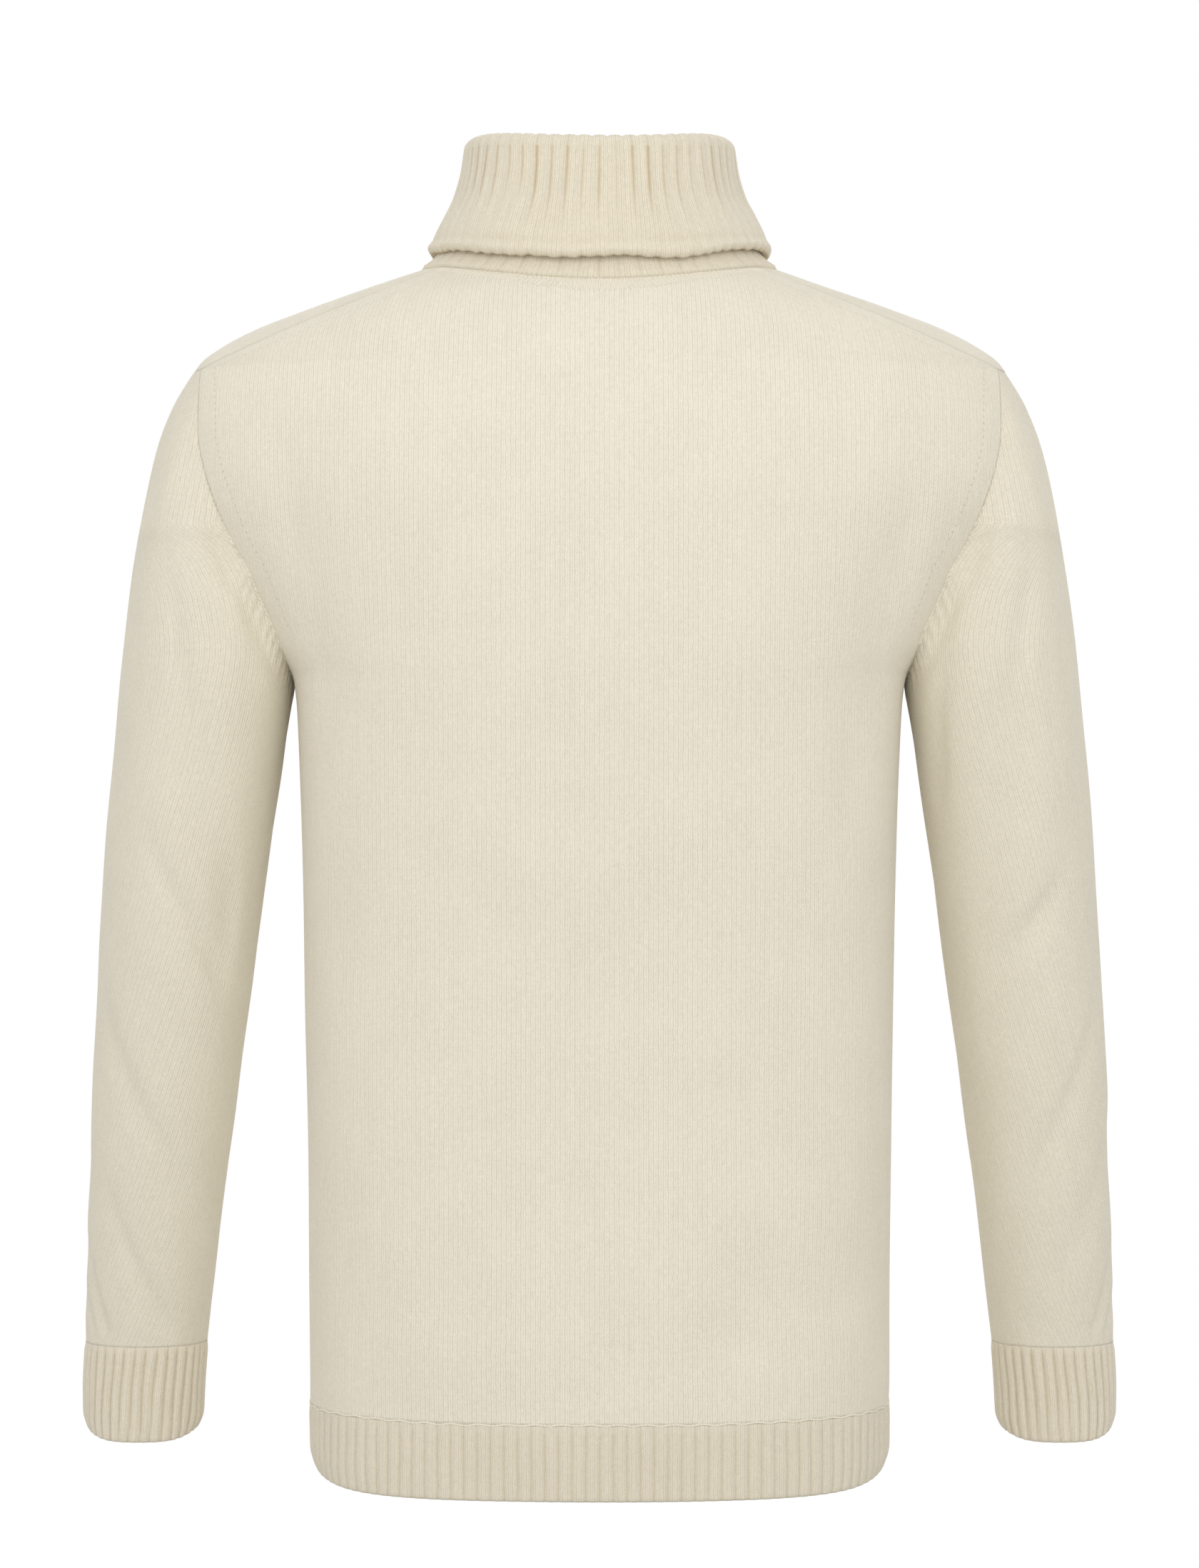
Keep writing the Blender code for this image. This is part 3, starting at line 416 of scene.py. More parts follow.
def nap_group():
    """Brushed nap: fine fibre noise, and slow patches where it hides the stitches or lets
    them show, with a faint heather of lighter and darker wool."""
    group, given, result = node_group(
        "Wool nap", [("Place", "NodeSocketVector", None), ("Patch", "NodeSocketFloat", 26.0)],
        [("Fibre", "NodeSocketFloat"), ("Clear", "NodeSocketFloat"), ("Heather", "NodeSocketFloat")])
    patch = noise(group, given["Place"], given["Patch"], 2.5, 0.55)
    clear = place(group, "ShaderNodeMapRange", {0: patch, 1: 0.36, 2: 0.66, 3: 0.8, 4: 1.0})
    group.links.new(noise(group, given["Place"], 1150.0, 3.0, 0.65), result["Fibre"])
    group.links.new(clear, result["Clear"])
    group.links.new(noise(group, given["Place"], 420.0, 3.0, 0.6), result["Heather"])
    return group


STITCHES, NAP = stitch_group(), nap_group()


def new_look(name, even):
    """Material whose shader has the given even values; gives the material, its tree and its
    shader's inputs."""
    made = bpy.data.materials.new(name)
    made.use_nodes = True
    shader = made.node_tree.nodes["Principled BSDF"].inputs
    for label, value in even.items():
        shader[label].default_value = value
    return made, made.node_tree, shader


def object_place(tree):
    """Place on the object, in metres."""
    return place(tree, "ShaderNodeTexCoord", {}).node.outputs["Object"]


def from_group(tree, group, inputs):
    """Outputs of an effect that several materials use, with this material's own values."""
    return place(tree, "ShaderNodeGroup", inputs, node_tree=group).node.outputs


def own_value(tree, label):
    """Value that the mesh carries at each point."""
    return place(tree, "ShaderNodeAttribute", {}, attribute_name=label).node.outputs["Fac"]


def add_bump(tree, shader, height, strength, distance):
    """Small relief that only turns the light."""
    bump = place(tree, "ShaderNodeBump", {"Strength": strength, "Distance": distance, "Height": height})
    tree.links.new(bump, shader["Normal"])


def wool(name, light, painted_shade_colour, wale, course, relief, purl=0.0, marks=False):
    """Lambswool knit: stitches on the stitch map under a nap, with painted shade in the stitch furrows
    and wherever the mesh's stored value asks for it (rib furrows, seams, the collar's crevice and
    under its edge), and with the dotted line of the narrowings where `marks` asks for it."""
    made, tree, shader = new_look(name, {
        "Roughness": 0.92, "Specular IOR Level": 0.25, "Sheen Weight": 0.4, "Sheen Roughness": 0.55,
        "Sheen Tint": (1.0, 0.97, 0.90, 1.0)})
    furrow_shade, recess_shade, mark_shade, mark_depth, nap_height = 0.62, 0.85, 0.5, 0.8, 0.55
    surface = place(tree, "ShaderNodeUVMap", {}, uv_map="stitches")
    stitch = from_group(tree, STITCHES, {"Surface": surface, "Wale": wale, "Course": course, "Purl": purl})
    nap = from_group(tree, NAP, {"Place": object_place(tree)})
    # Painted shade: the colour is drawn towards the second colour in the stitch furrows, where the nap lets
    # them show, and by the mesh's stored value in rib furrows, seams, the collar's crevice and under its
    # edge. The narrowing marks added below are the knit's own.
    painted_shade_and_marks = times(tree, times(tree, stitch["Furrow"], nap["Clear"]), furrow_shade)
    painted_shade_and_marks = calc(tree, "MAXIMUM", painted_shade_and_marks, times(tree, own_value(tree, "painted_shade_amount"), recess_shade))
    height = times(tree, times(tree, stitch["Height"], nap["Clear"]), relief)
    if marks:
        off_line = calc(tree, "ABSOLUTE", calc(tree, "SUBTRACT", own_value(tree, "from_seam"), MARKS_IN))
        line = calc(tree, "SUBTRACT", 1.0, calc(tree, "DIVIDE", off_line, MARK_HALF_WIDTH))
        up = place(tree, "ShaderNodeSeparateXYZ", {0: surface}).node.outputs["Y"]
        beat = calc(tree, "SINE", times(tree, up, 2 * math.pi / (2 * COURSE)))
        dots = times(tree, calc(tree, "MAXIMUM", line, 0.0), calc(tree, "MAXIMUM", beat, 0.0))
        painted_shade_and_marks = calc(tree, "ADD", painted_shade_and_marks, times(tree, dots, mark_shade))
        height = calc(tree, "SUBTRACT", height, times(tree, dots, mark_depth))
    # Base colour: cream drawn towards the painted shade colour by the painted shade and the narrowing
    # marks.
    base = blend_colours(tree, calc(tree, "MINIMUM", painted_shade_and_marks, 1.0), (*light, 1.0), (*painted_shade_colour, 1.0))
    grain = calc(tree, "MULTIPLY_ADD", stitch["Streak"], 0.07, 0.965)
    for speck in ("Heather", "Fibre"):
        grain = times(tree, grain, calc(tree, "MULTIPLY_ADD", nap[speck], 0.2, 0.9))
    grey = place(tree, "ShaderNodeCombineColor", {0: grain, 1: grain, 2: grain})
    tree.links.new(blend_colours(tree, 1.0, base, grey, "MULTIPLY"), shader["Base Color"])
    height = calc(tree, "ADD", height, times(tree, nap["Fibre"], nap_height))
    add_bump(tree, shader, height, 0.55, 0.7 * MM)
    return made


# Each knit's second colour is its painted shade colour, for stitch furrows, rib furrows, seams and under
# edges.
CREAM, CREAM_PAINTED_SHADE = (0.83, 0.785, 0.665), (0.60, 0.53, 0.40)
knit_face = wool("stocking stitch", CREAM, CREAM_PAINTED_SHADE, WALE, COURSE, 1.0, marks=True)
knit_wrong = wool("stocking stitch wrong side", (0.78, 0.73, 0.61), CREAM_PAINTED_SHADE, WALE, COURSE, 1.0,
                  purl=1.0)

LOW_ROWS, ARM_ROWS, TOP_ROWS = 118, 52, 46
SIDE_HEIGHTS = HEM_TOP + (UNDERARM - HEM_TOP) * np.linspace(0, 1, LOW_ROWS + 1) ** 1.12
ARM_HEIGHTS = np.linspace(UNDERARM, SHOULDER_POINT, ARM_ROWS + 1)
TOP_SHARE = 1 - (1 - np.linspace(0, 1, TOP_ROWS + 1)) ** 1.12
TOP_HEIGHTS = SHOULDER_POINT + (NECK_POINT - SHOULDER_POINT) * TOP_SHARE
EDGE_HEIGHTS = np.concatenate([SIDE_HEIGHTS, ARM_HEIGHTS[1:], TOP_HEIGHTS[1:]])
BACK_COLUMNS = 128

# Creases of the back: first point, bend and last point (mm across from the middle, mm of height;
# the wearer's left is positive), width (mm), skew, depth (mm)
BACK_FOLDS = [
    ((176, -150), (162, -205), (160, -262), 20, 0.25, -2.8),
    ((-178, -142), (-162, -200), (-162, -270), 21, -0.25, -3.1),
    ((186, -96), (176, -140), (170, -178), 13, 0.2, -1.8),
    ((-188, -92), (-178, -140), (-172, -180), 13, -0.2, -1.8),
    ((-140, -236), (-150, -278), (-146, -318), 15, 0.2, -2.2),
    ((150, -300), (158, -352), (150, -402), 20, -0.2, -1.3),
    ((120, -392), (40, -418), (-40, -402), 42, 0.2, -1.1),
    ((-150, -452), (-70, -486), (30, -470), 40, -0.2, -1.2),
    ((-70, -556), (-128, -588), (-176, -560), 22, 0.25, -2.0),
    ((-18, -622), (-70, -588), (-128, -596), 20, 0.2, -1.6),
    ((128, -596), (86, -612), (30, -604), 22, -0.2, 1.4),
    ((10, -570), (-8, -600), (-4, -632), 17, 0.1, -1.3),
    ((168, -520), (140, -560), (148, -612), 20, 0.2, -1.6),
    ((70, -120), (20, -160), (-44, -150), 46, 0.1, -1.0),
    ((120, -40), (70, -52), (20, -40), 22, 0.2, -0.9),
]


def back_grid():
    """Rows climb from the hem and turn down to the neck seam at the top. Columns part each
    row's way round evenly at the bottom, and by the neck's own curve at the top."""
    columns = 2 * closer_at_ends(BACK_COLUMNS, 0.6) - 1
    size = np.abs(columns)
    top_angle = math.asin(SHOULDER_SEAM[-1, 1] / NECK_HALF_WIDTH)
    dip = neck_height(top_angle) - neck_height(top_angle * size)
    at_neck = np.sin(top_angle * size) / math.sin(top_angle)
    height = EDGE_HEIGHTS
    edge = np.where(height <= UNDERARM, math.pi / 2,
                    np.where(height <= SHOULDER_POINT, armhole_angle(height), shoulder_angle(height)))
    turn = smooth_step((height - BACK_DROP_REACH) / (NECK_POINT - BACK_DROP_REACH))[:, None]
    half_width, _, _, power = section(height)
    edge_x = (half_width * np.sin(edge) ** (2 / power))[:, None]
    level = height[:, None] - dip * turn
    x = edge_x * (even_across(size, edge, height) * (1 - turn) + at_neck * turn)
    return figure(np.sign(columns) * angle_at(x, level), level)


def stitch_position(points, middle):
    """Way across from the middle column and way up from the bottom, in metres."""
    across, up = walked(points, 1), walked(points, 0)
    return across - across[:, middle:middle + 1], up


back_points, back_out = back_grid()
back_across, back_up = stitch_position(back_points, BACK_COLUMNS // 2)
from_side = np.minimum(back_across - back_across[:, :1], back_across[:, -1:] - back_across)
from_end = np.minimum(back_up, back_up[-1:] - back_up)
calm = smooth_step(np.minimum(from_side, from_end) / STILL_EDGE)
sway = folds(back_across, back_points[..., 2], BACK_FOLDS)
sway += unevenness(back_across, back_up, 3, 0.13, 0.9 * MM)
from_top = back_up[-1:] - back_up
seam_share = fullness(np.minimum(from_side, from_top), SEAM_WIDTH, pinch(back_points[..., 2]))
back_outer, back_inner = knitted_wall(back_points, back_out, sway * calm, seam_share)
BESIDE_ARMHOLE = (EDGE_HEIGHTS > MARKS_FROM)[:, None]
# Painted shade darkens the colour along the pinched seams, by how much the wall is drawn in.
back_panel = cloth_mesh("back_panel_knit", back_outer, back_inner, np.stack([back_across, back_up], -1),
                        0.4 * (1 - seam_share), [knit_face, knit_wrong],
                        edge=np.where(BESIDE_ARMHOLE, from_side, NO_MARKS))
fasten(back_panel, "knit", "back_panel")


# ---------------------------------------------------------------- front panel
# The front is the same stocking stitch, split down the middle for the zip to the level of
# the underarm. It is carried over the top of the shoulders, so that it is linked to the back
# a little behind them.
SLIT_HALF_WIDTH, SLIT_EDGE = 4.0 * MM, 1.5 * MM
FLAT_BESIDE_ZIP, FLAT_BELOW_ZIP, FLAT_FADE = 9.0 * MM, 12.0 * MM, 18.0 * MM
SHOULDER_COLUMNS = 10
FRONT_COLUMNS = 62
UNDERARM_ROW, SHOULDER_ROW = LOW_ROWS, LOW_ROWS + ARM_ROWS
FRONT_FOLDS = [
    ((172, -146), (160, -204), (160, -268), 20, 0.25, -3.2),
    ((-174, -150), (-162, -206), (-160, -256), 20, -0.25, -3.0),
    ((150, -232), (156, -280), (148, -322), 16, -0.2, -2.0),
    ((-138, -250), (-150, -296), (-148, -340), 16, 0.2, -2.2),
    ((14, -256), (22, -276), (56, -306), 16, 0.2, -1.7),
    ((-14, -258), (-28, -280), (-70, -298), 16, -0.2, -1.5),
    ((-110, -380), (-30, -408), (60, -392), 42, 0.2, -1.1),
    ((150, -470), (70, -498), (-30, -484), 40, -0.2, -1.2),
    ((60, -552), (124, -590), (172, -566), 22, 0.25, -1.9),
    ((20, -616), (-60, -586), (-130, -600), 20, 0.2, -1.6),
    ((-128, -548), (-150, -586), (-146, -626), 18, -0.2, -1.6),
    ((104, -90), (66, -120), (34, -170), 24, 0.2, -1.5),
    ((-100, -96), (-70, -130), (-34, -180), 24, -0.2, -1.3),
    ((150, -60), (120, -84), (96, -120), 20, 0.2, -1.2),
    ((-156, -64), (-128, -90), (-100, -118), 20, -0.2, -1.2),
]


def front_grid():
    """Each row runs from the left shoulder seam over the crest and across the front to the
    slit, and the same way on the right. The middle column of cells is the slit."""
    part = closer_at_ends(FRONT_COLUMNS, 0.5)[::-1]
    over = np.linspace(0, 1, SHOULDER_COLUMNS + 1)[:-1]
    height = EDGE_HEIGHTS
    climb = np.clip((height - SHOULDER_POINT) / (NECK_POINT - SHOULDER_POINT), 0, 1)
    front_height = height + climb * (NECK_CREST - NECK_POINT)
    edge = np.where(height <= UNDERARM, math.pi / 2,
                    np.where(height <= SHOULDER_POINT, armhole_angle(height),
                             armhole_angle(SHOULDER_POINT) * (1 - climb) + math.pi / 2 * climb))
    turn = smooth_step((front_height - FRONT_DROP_REACH) / (NECK_CREST - FRONT_DROP_REACH))[:, None]
    half_width, _, _, power = section(front_height)
    edge_x = (half_width * np.sin(edge) ** (2 / power))[:, None]
    dip = neck_height(math.pi / 2) - neck_height(math.pi - part * math.pi / 2)
    level = front_height[:, None] - dip * turn
    share = (even_across(part, edge, front_height, math.pi, -1.0) * (1 - turn)
             + np.sin(part * math.pi / 2) * turn)
    half = math.pi - angle_at(SLIT_HALF_WIDTH + (edge_x - SLIT_HALF_WIDTH) * share, level)
    seam = shoulder_angle(np.maximum(height, SHOULDER_POINT))[:, None]
    side = np.concatenate([seam + (half[:, :1] - seam) * over, half], axis=1)
    side_level = np.concatenate([height[:, None] + (front_height - height)[:, None] * over, level], axis=1)
    return figure(np.concatenate([side, -side[:, ::-1]], axis=1),
                  np.concatenate([side_level, side_level[:, ::-1]], axis=1))


front_points, front_out = front_grid()
front_cells = front_points.shape[1] - 1
SLIT_COLUMN = front_cells // 2
rows_of = np.arange(len(EDGE_HEIGHTS))
front_present = np.ones((len(rows_of) - 1, front_cells), dtype=bool)
front_present[:SHOULDER_ROW, :SHOULDER_COLUMNS] = False
front_present[:SHOULDER_ROW, front_cells - SHOULDER_COLUMNS:] = False
front_present[UNDERARM_ROW:, SLIT_COLUMN] = False
front_across, front_up = stitch_position(front_points, SLIT_COLUMN)
front_across -= SLIT_HALF_WIDTH
edge_column = np.where(rows_of < SHOULDER_ROW, SHOULDER_COLUMNS, 0)
left_edge = front_across[rows_of, edge_column][:, None]
right_edge = front_across[rows_of, front_cells - edge_column][:, None]
from_side = np.maximum(np.minimum(front_across - left_edge, right_edge - front_across), 0)
from_end = np.minimum(front_up, front_up[-1:] - front_up)
from_slit = np.where(rows_of[:, None] >= UNDERARM_ROW, np.abs(np.abs(front_across) - SLIT_HALF_WIDTH), 1.0)
from_zip = np.hypot(np.maximum(np.abs(front_across) - SLIT_HALF_WIDTH, 0),
                    np.maximum(UNDERARM - FLAT_BELOW_ZIP - front_points[..., 2], 0))
calm = smooth_step(np.minimum(from_side, from_end) / STILL_EDGE)
calm = calm * smooth_step((from_zip - FLAT_BESIDE_ZIP) / FLAT_FADE)
sway = folds(-front_across, front_points[..., 2], FRONT_FOLDS)
sway += unevenness(front_across, front_up, 8, 0.13, 0.9 * MM)
from_top = front_up[-1:] - front_up
seam_share = fullness(np.minimum(from_side, from_top), SEAM_WIDTH, pinch(front_points[..., 2]))
seam_share = np.minimum(seam_share, fullness(from_slit, SLIT_EDGE, 0.35))
front_outer, front_inner = knitted_wall(front_points, front_out, sway * calm, seam_share)
marked = BESIDE_ARMHOLE & (EDGE_HEIGHTS < SHOULDER_POINT)[:, None]
# Painted shade darkens the colour along the pinched seams and the slit's edges, by how much the wall is
# drawn in.
front_panel = cloth_mesh("front_panel_knit", front_outer, front_inner,
                         np.stack([front_across, front_up], -1), 0.5 * (1 - seam_share),
                         [knit_face, knit_wrong], present=front_present,
                         edge=np.where(marked, from_side, NO_MARKS))
fasten(front_panel, "knit", "front_panel")


# ---------------------------------------------------------------- hem rib
# Two ribbed bands, knitted on to the back and the front before the plain stitch starts:
# three wales forward and one back, which draws in to broad flat ribs with a narrow furrow.
HEM_BOTTOM = -682.8 * MM
HEM_RIBS, HEM_ROWS = 60, 20
HEM_PITCH, HEM_FURROW, HEM_ROUND_EDGE = 7.8 * MM, 0.15, 2.1 * MM
HEM_RIB_SETTLES, HEM_WAVE_FROM, HEM_HALF_WIDTH = 7.0 * MM, 30.0 * MM, 165.0 * MM
HEM_CORNER_RISE, HEM_RISES_FROM = 6.0 * MM, 14.0 * MM
HEM_CORNER_DRAW, HEM_DRAWS_FROM = 4.0 * MM, 26.0 * MM
RIB_WALL, RIB_RAISED = 3.0 * MM, 1.0 * MM
RIB_LINES = np.array([0.0, 0.07, 0.15, 0.25, 0.5, 0.75, 0.85, 0.93])
# The second colour of each rib is its painted shade colour for the furrows.
rib_face = wool("ribbed wool", (0.765, 0.712, 0.588), (0.56, 0.475, 0.335), HEM_PITCH / 3, COURSE, 0.8)
rib_wrong = wool("ribbed wool wrong side", (0.76, 0.71, 0.585), (0.55, 0.47, 0.34),
                 HEM_PITCH / 3, COURSE, 0.8)


def rib_phase(ribs):
    """Place of each column counted in ribs, with lines gathered beside the furrows."""
    return np.append((np.arange(ribs)[:, None] + RIB_LINES).reshape(-1), ribs)


def rib_height(phase, width):
    """1 on a rib and 0 in a furrow: one less a bell round each whole number, and a slight
    crown on the rib."""
    off = phase - np.round(phase)
    return (1 - np.exp(-(off / width) ** 2)) * (1 + 0.12 * np.cos(2 * math.pi * (off - 0.5)))


def hem_grid(start):
    """Level rows between the seam and the lower edge, evenly parted along the section:
    points, outward directions and the columns counted in ribs."""
    phase = rib_phase(HEM_RIBS)
    fine = np.linspace(-math.pi / 2, math.pi / 2, 900)
    line, _ = figure(start + fine, np.full(len(fine), HEM_TOP))
    length = walked(line, 0)
    angle = start + np.interp(phase / HEM_RIBS * length[-1], length, fine)
    share = closer_at_ends(HEM_ROWS, 0.75)[:, None]
    points, outward = figure(angle, HEM_TOP + (HEM_BOTTOM - HEM_TOP) * share)
    outward[..., 2] = 0
    return points, unit(outward), phase


for hem_name, start, seed in (("back", 0.0, 21), ("front", math.pi, 22)):
    points, outward, phase = hem_grid(start)
    across, down = walked(points, 1), walked(points, 0)
    from_seam = np.minimum(down, np.minimum(across, across[:, -1:] - across) + 0.6 * MM)
    wander = unevenness(across, down, seed, 0.03, 0.09)
    ribs, back_ribs = [rib_height(phase + wander + shift, HEM_FURROW) for shift in (0, 0.5)]
    strength = 0.35 + 0.65 * smooth_step(down / HEM_RIB_SETTLES)
    sway = unevenness(across, down * 0.3, seed + 5, 0.11, 1.3 * MM) * smooth_step(down / HEM_WAVE_FROM)
    middle = points + outward * sway[..., None]
    outer = middle + outward * (RIB_RAISED * (ribs - 0.5) * strength)[..., None]
    inner = middle - outward * (RIB_WALL + RIB_RAISED / 2 * back_ribs)[..., None]
    share = fullness(from_seam + down, SEAM_WIDTH, 0.7)
    share = np.minimum(share, fullness(down[-1:] - down, HEM_ROUND_EDGE, 0.12))
    outer, inner = wall(outer, inner, share)
    sideways = points[..., 0] / HEM_HALF_WIDTH
    rise = smooth_step((down - HEM_RISES_FROM) / (down[-1:] - HEM_RISES_FROM))
    draw_in = np.clip((down - HEM_DRAWS_FROM) / (down[-1:] - HEM_DRAWS_FROM), 0, 1) ** 2
    for grid in (outer, inner):
        grid[..., 2] += HEM_CORNER_RISE * np.abs(sideways) ** 14 * rise
        grid[..., 0] -= HEM_CORNER_DRAW * sideways ** 7 * draw_in
    surface = np.stack(np.broadcast_arrays(phase * HEM_PITCH, down), -1)
    # Painted shade in the rib furrows, weaker near the seam.
    painted_shade_amount = 0.5 * (1 - np.clip(ribs, 0, 1)) * strength
    band = cloth_mesh(f"hem_rib_{hem_name}", outer, inner, surface, painted_shade_amount, [rib_face, rib_wrong])
    fasten(band, "rib", f"hem_band_{hem_name}")


# ---------------------------------------------------------------- sleeves
# Each sleeve is knitted flat and shaped at both edges, closed along the underarm and linked
# round the armhole, where its fuller edge puckers. The arm's bend is left in it as soft
# creases at the elbow and where it gathers above the cuff.
# Rings: outer end and inner end seen from the back (x, z each), half depth, middle of the
# depth (mm), and how much of the armhole's own shape is left
SLEEVE = np.array([
    (231.0, -55.0, 174.0, -232.0, 57.0, 0.0, 1.00), (242.5, -74.0, 174.6, -234.8, 58.5, 0.0, 0.80),
    (252.0, -98.0, 175.5, -240.0, 60.0, -0.3, 0.55), (260.0, -131.5, 177.0, -249.0, 61.5, -0.8, 0.35),
    (267.3, -176.0, 179.4, -263.0, 62.0, -1.8, 0.20), (273.2, -224.0, 182.7, -286.0, 60.0, -3.5, 0.10),
    (280.4, -297.5, 189.3, -329.0, 56.0, -6.0, 0.0), (284.6, -348.0, 194.2, -364.0, 53.5, -8.5, 0.0),
    (288.0, -402.0, 199.9, -407.0, 50.0, -11.0, 0.0), (291.0, -455.0, 206.8, -456.0, 46.5, -14.0, 0.0),
    (293.4, -508.0, 213.6, -508.0, 43.0, -17.5, 0.0), (295.2, -562.0, 220.6, -562.0, 38.5, -21.0, 0.0),
    (296.2, -611.0, 226.4, -611.0, 33.5, -24.0, 0.0),
]) * (MM, MM, MM, MM, MM, MM, 1.0)
SLEEVE_ROWS, SLEEVE_COLUMNS = 150, 216
SLEEVE_STILL_EDGE, CREASES_DEEPER = 16.0 * MM, 1.3
PUCKER_PITCH, PUCKER_DEPTH = 7.5 * MM, 0.75 * MM
VALLEY_DEPTH = 2.4 * MM
MIRRORS = {"left": np.array((1.0, 1.0, 1.0)), "right": np.array((-1.0, 1.0, 1.0))}
# Creases: way round from the outer line (mm, positive to the back), way down the sleeve (mm)
SLEEVE_FOLDS_LEFT = [
    ((80, 90), (88, 140), (84, 188), 17, 0.2, -2.6), ((-78, 88), (-88, 140), (-86, 190), 17, -0.2, -2.4),
    ((60, 60), (74, 84), (78, 120), 11, 0.2, -1.4), ((-58, 58), (-72, 84), (-78, 118), 11, -0.2, -1.4),
    ((66, 214), (90, 220), (110, 198), 10, 0.25, -2.9), ((112, 134), (114, 172), (99, 216), 9, -0.25, -2.1),
    ((-96, 286), (-60, 300), (-30, 326), 13, 0.25, -2.4), ((96, 340), (60, 356), (20, 350), 14, 0.2, -1.6),
    ((-90, 330), (-60, 352), (-10, 356), 13, -0.2, -1.7), ((84, 424), (64, 440), (36, 436), 11, 0.2, -1.6),
    ((-70, 450), (-30, 470), (10, 462), 16, -0.2, -1.2), ((80, 500), (40, 516), (0, 508), 11, 0.25, -1.5),
    ((-72, 522), (-40, 534), (-8, 524), 9, 0.2, -1.5), ((60, 532), (30, 541), (4, 536), 8, 0.2, -1.5),
]
SLEEVE_FOLDS_RIGHT = [
    ((78, 88), (88, 136), (84, 182), 18, 0.2, -2.9), ((-80, 92), (-88, 144), (-84, 192), 17, -0.2, -2.4),
    ((56, 54), (70, 82), (80, 112), 11, 0.2, -1.8), ((-58, 60), (-72, 86), (-78, 122), 11, -0.2, -1.3),
    ((95, 216), (77, 232), (58, 245), 10, 0.25, -2.8), ((106, 176), (98, 204), (86, 230), 10, -0.25, -1.8),
    ((120, 28), (125, 60), (125, 96), 10, 0.2, -2.0), ((-92, 278), (-62, 302), (-28, 318), 13, 0.25, -2.3),
    ((90, 352), (56, 362), (24, 352), 14, 0.2, -1.4), ((-88, 336), (-56, 350), (-14, 352), 13, -0.2, -1.6),
    ((66, 430), (24, 448), (-24, 440), 18, 0.2, -1.2), ((-66, 456), (-26, 474), (14, 462), 16, -0.2, -1.2),
    ((76, 508), (40, 520), (6, 512), 11, 0.25, -1.5), ((-70, 526), (-36, 538), (-6, 528), 9, 0.2, -1.4),
    ((56, 536), (26, 543), (0, 538), 8, 0.2, -1.4),
]
# The sleeves are the body's yarn in a darker cream: painted shade, as the sleeves were seen less lit than
# the back.
sleeve_shaded_face = wool("sleeve stocking stitch", (0.795, 0.748, 0.626), CREAM_PAINTED_SHADE, WALE, COURSE, 1.0)


def armhole_line(count):
    """Closed seam line from the underarm up the back, over the shoulder and down the front,
    evenly parted: points, and the directions out of the body."""
    up = np.linspace(UNDERARM, SHOULDER_POINT, 90)
    back, front = armhole_angle(up), math.pi - armhole_angle(up)
    over = np.linspace(back[-1], front[-1], 40)[1:-1]
    angle = np.concatenate([back, over, front[::-1]])
    height = np.concatenate([up, np.full(38, SHOULDER_POINT), up[::-1]])
    length = walked(figure(angle, height)[0], 0)
    even = np.linspace(0, length[-1], count + 1)[:-1]
    return figure(np.interp(even, length, angle), np.interp(even, length, height))


def ellipse_ring(far_x, far_z, near_x, near_z, half_depth, middle, around):
    """Ellipse through its two ends in the view from the back, from the inner end round the back."""
    x = (far_x + near_x) / 2 + (near_x - far_x) / 2 * np.cos(around)
    z = (far_z + near_z) / 2 + (near_z - far_z) / 2 * np.cos(around)
    return np.stack([x, middle + half_depth * np.sin(around), z], axis=-1)


def tube_directions(grid):
    """Outward directions of a closed grid of rings: the cross product of its two ways."""
    around = np.roll(grid, -1, axis=1) - np.roll(grid, 1, axis=1)
    normals = unit(np.cross(np.gradient(grid, axis=0), around))
    facing = np.sum(normals * (grid - grid.mean(axis=1, keepdims=True)), axis=-1).mean()
    return normals * math.copysign(1.0, facing)


def sleeve_grid():
    """Rings fan from the armhole seam and level out at the elbow. The first one is the seam
    itself, and its own shape fades into the sleeve's round section."""
    seam, out_of_body = armhole_line(SLEEVE_COLUMNS)
    around = np.arange(SLEEVE_COLUMNS) / SLEEVE_COLUMNS * 2 * math.pi
    between = (SLEEVE[:, 0:2] + SLEEVE[:, 2:4]) / 2
    length = walked(between, 0)
    at = closer_at_ends(SLEEVE_ROWS, 0.55) * length[-1]
    far_x, far_z, near_x, near_z, half_depth, middle, left = [
        curve(length, SLEEVE[:, column], at)[:, None] for column in range(7)]
    rings = ellipse_ring(far_x, far_z, near_x, near_z, half_depth, middle, around)
    start = ellipse_ring(*SLEEVE[0, :6], around)
    return rings + (seam - start) * left[..., None], out_of_body


def sleeve_stitches(points):
    """Stitch position on a sleeve: wales run along the arm, courses across it. Way round is
    the turn from the outer line about the arm's middle, times the arm's mean radius."""
    height = points[..., 2]
    middle_x = curve(np.array([-0.612, -0.4045, -0.313, -0.14, -0.05]),
                     np.array([0.2613, 0.2439, 0.2349, 0.2135, 0.205]), height)
    key = np.vstack([SLEEVE[::-1], SLEEVE[:1]])
    level = (key[:, 1] + key[:, 3]) / 2
    level[-1] += 120 * MM
    radius = curve(level, np.sqrt(((key[:, 0] - key[:, 2]) ** 2 / 4 + key[:, 4] ** 2) / 2), height)
    turn = np.arctan2(points[..., 1] - curve(level, key[:, 5], height), points[..., 0] - middle_x)
    down = -(height * 0.993 - points[..., 0] * 0.12)
    return turn, radius, down


def once_more(grid):
    """A tube's grid with its first column again at the end."""
    return np.concatenate([grid, grid[:, :1]], axis=1)


def fade(value, start, reach):
    """0 up to a start, 1 from a reach further on, and an S-curve between; both in mm."""
    return smooth_step((value - start * MM) / (reach * MM))


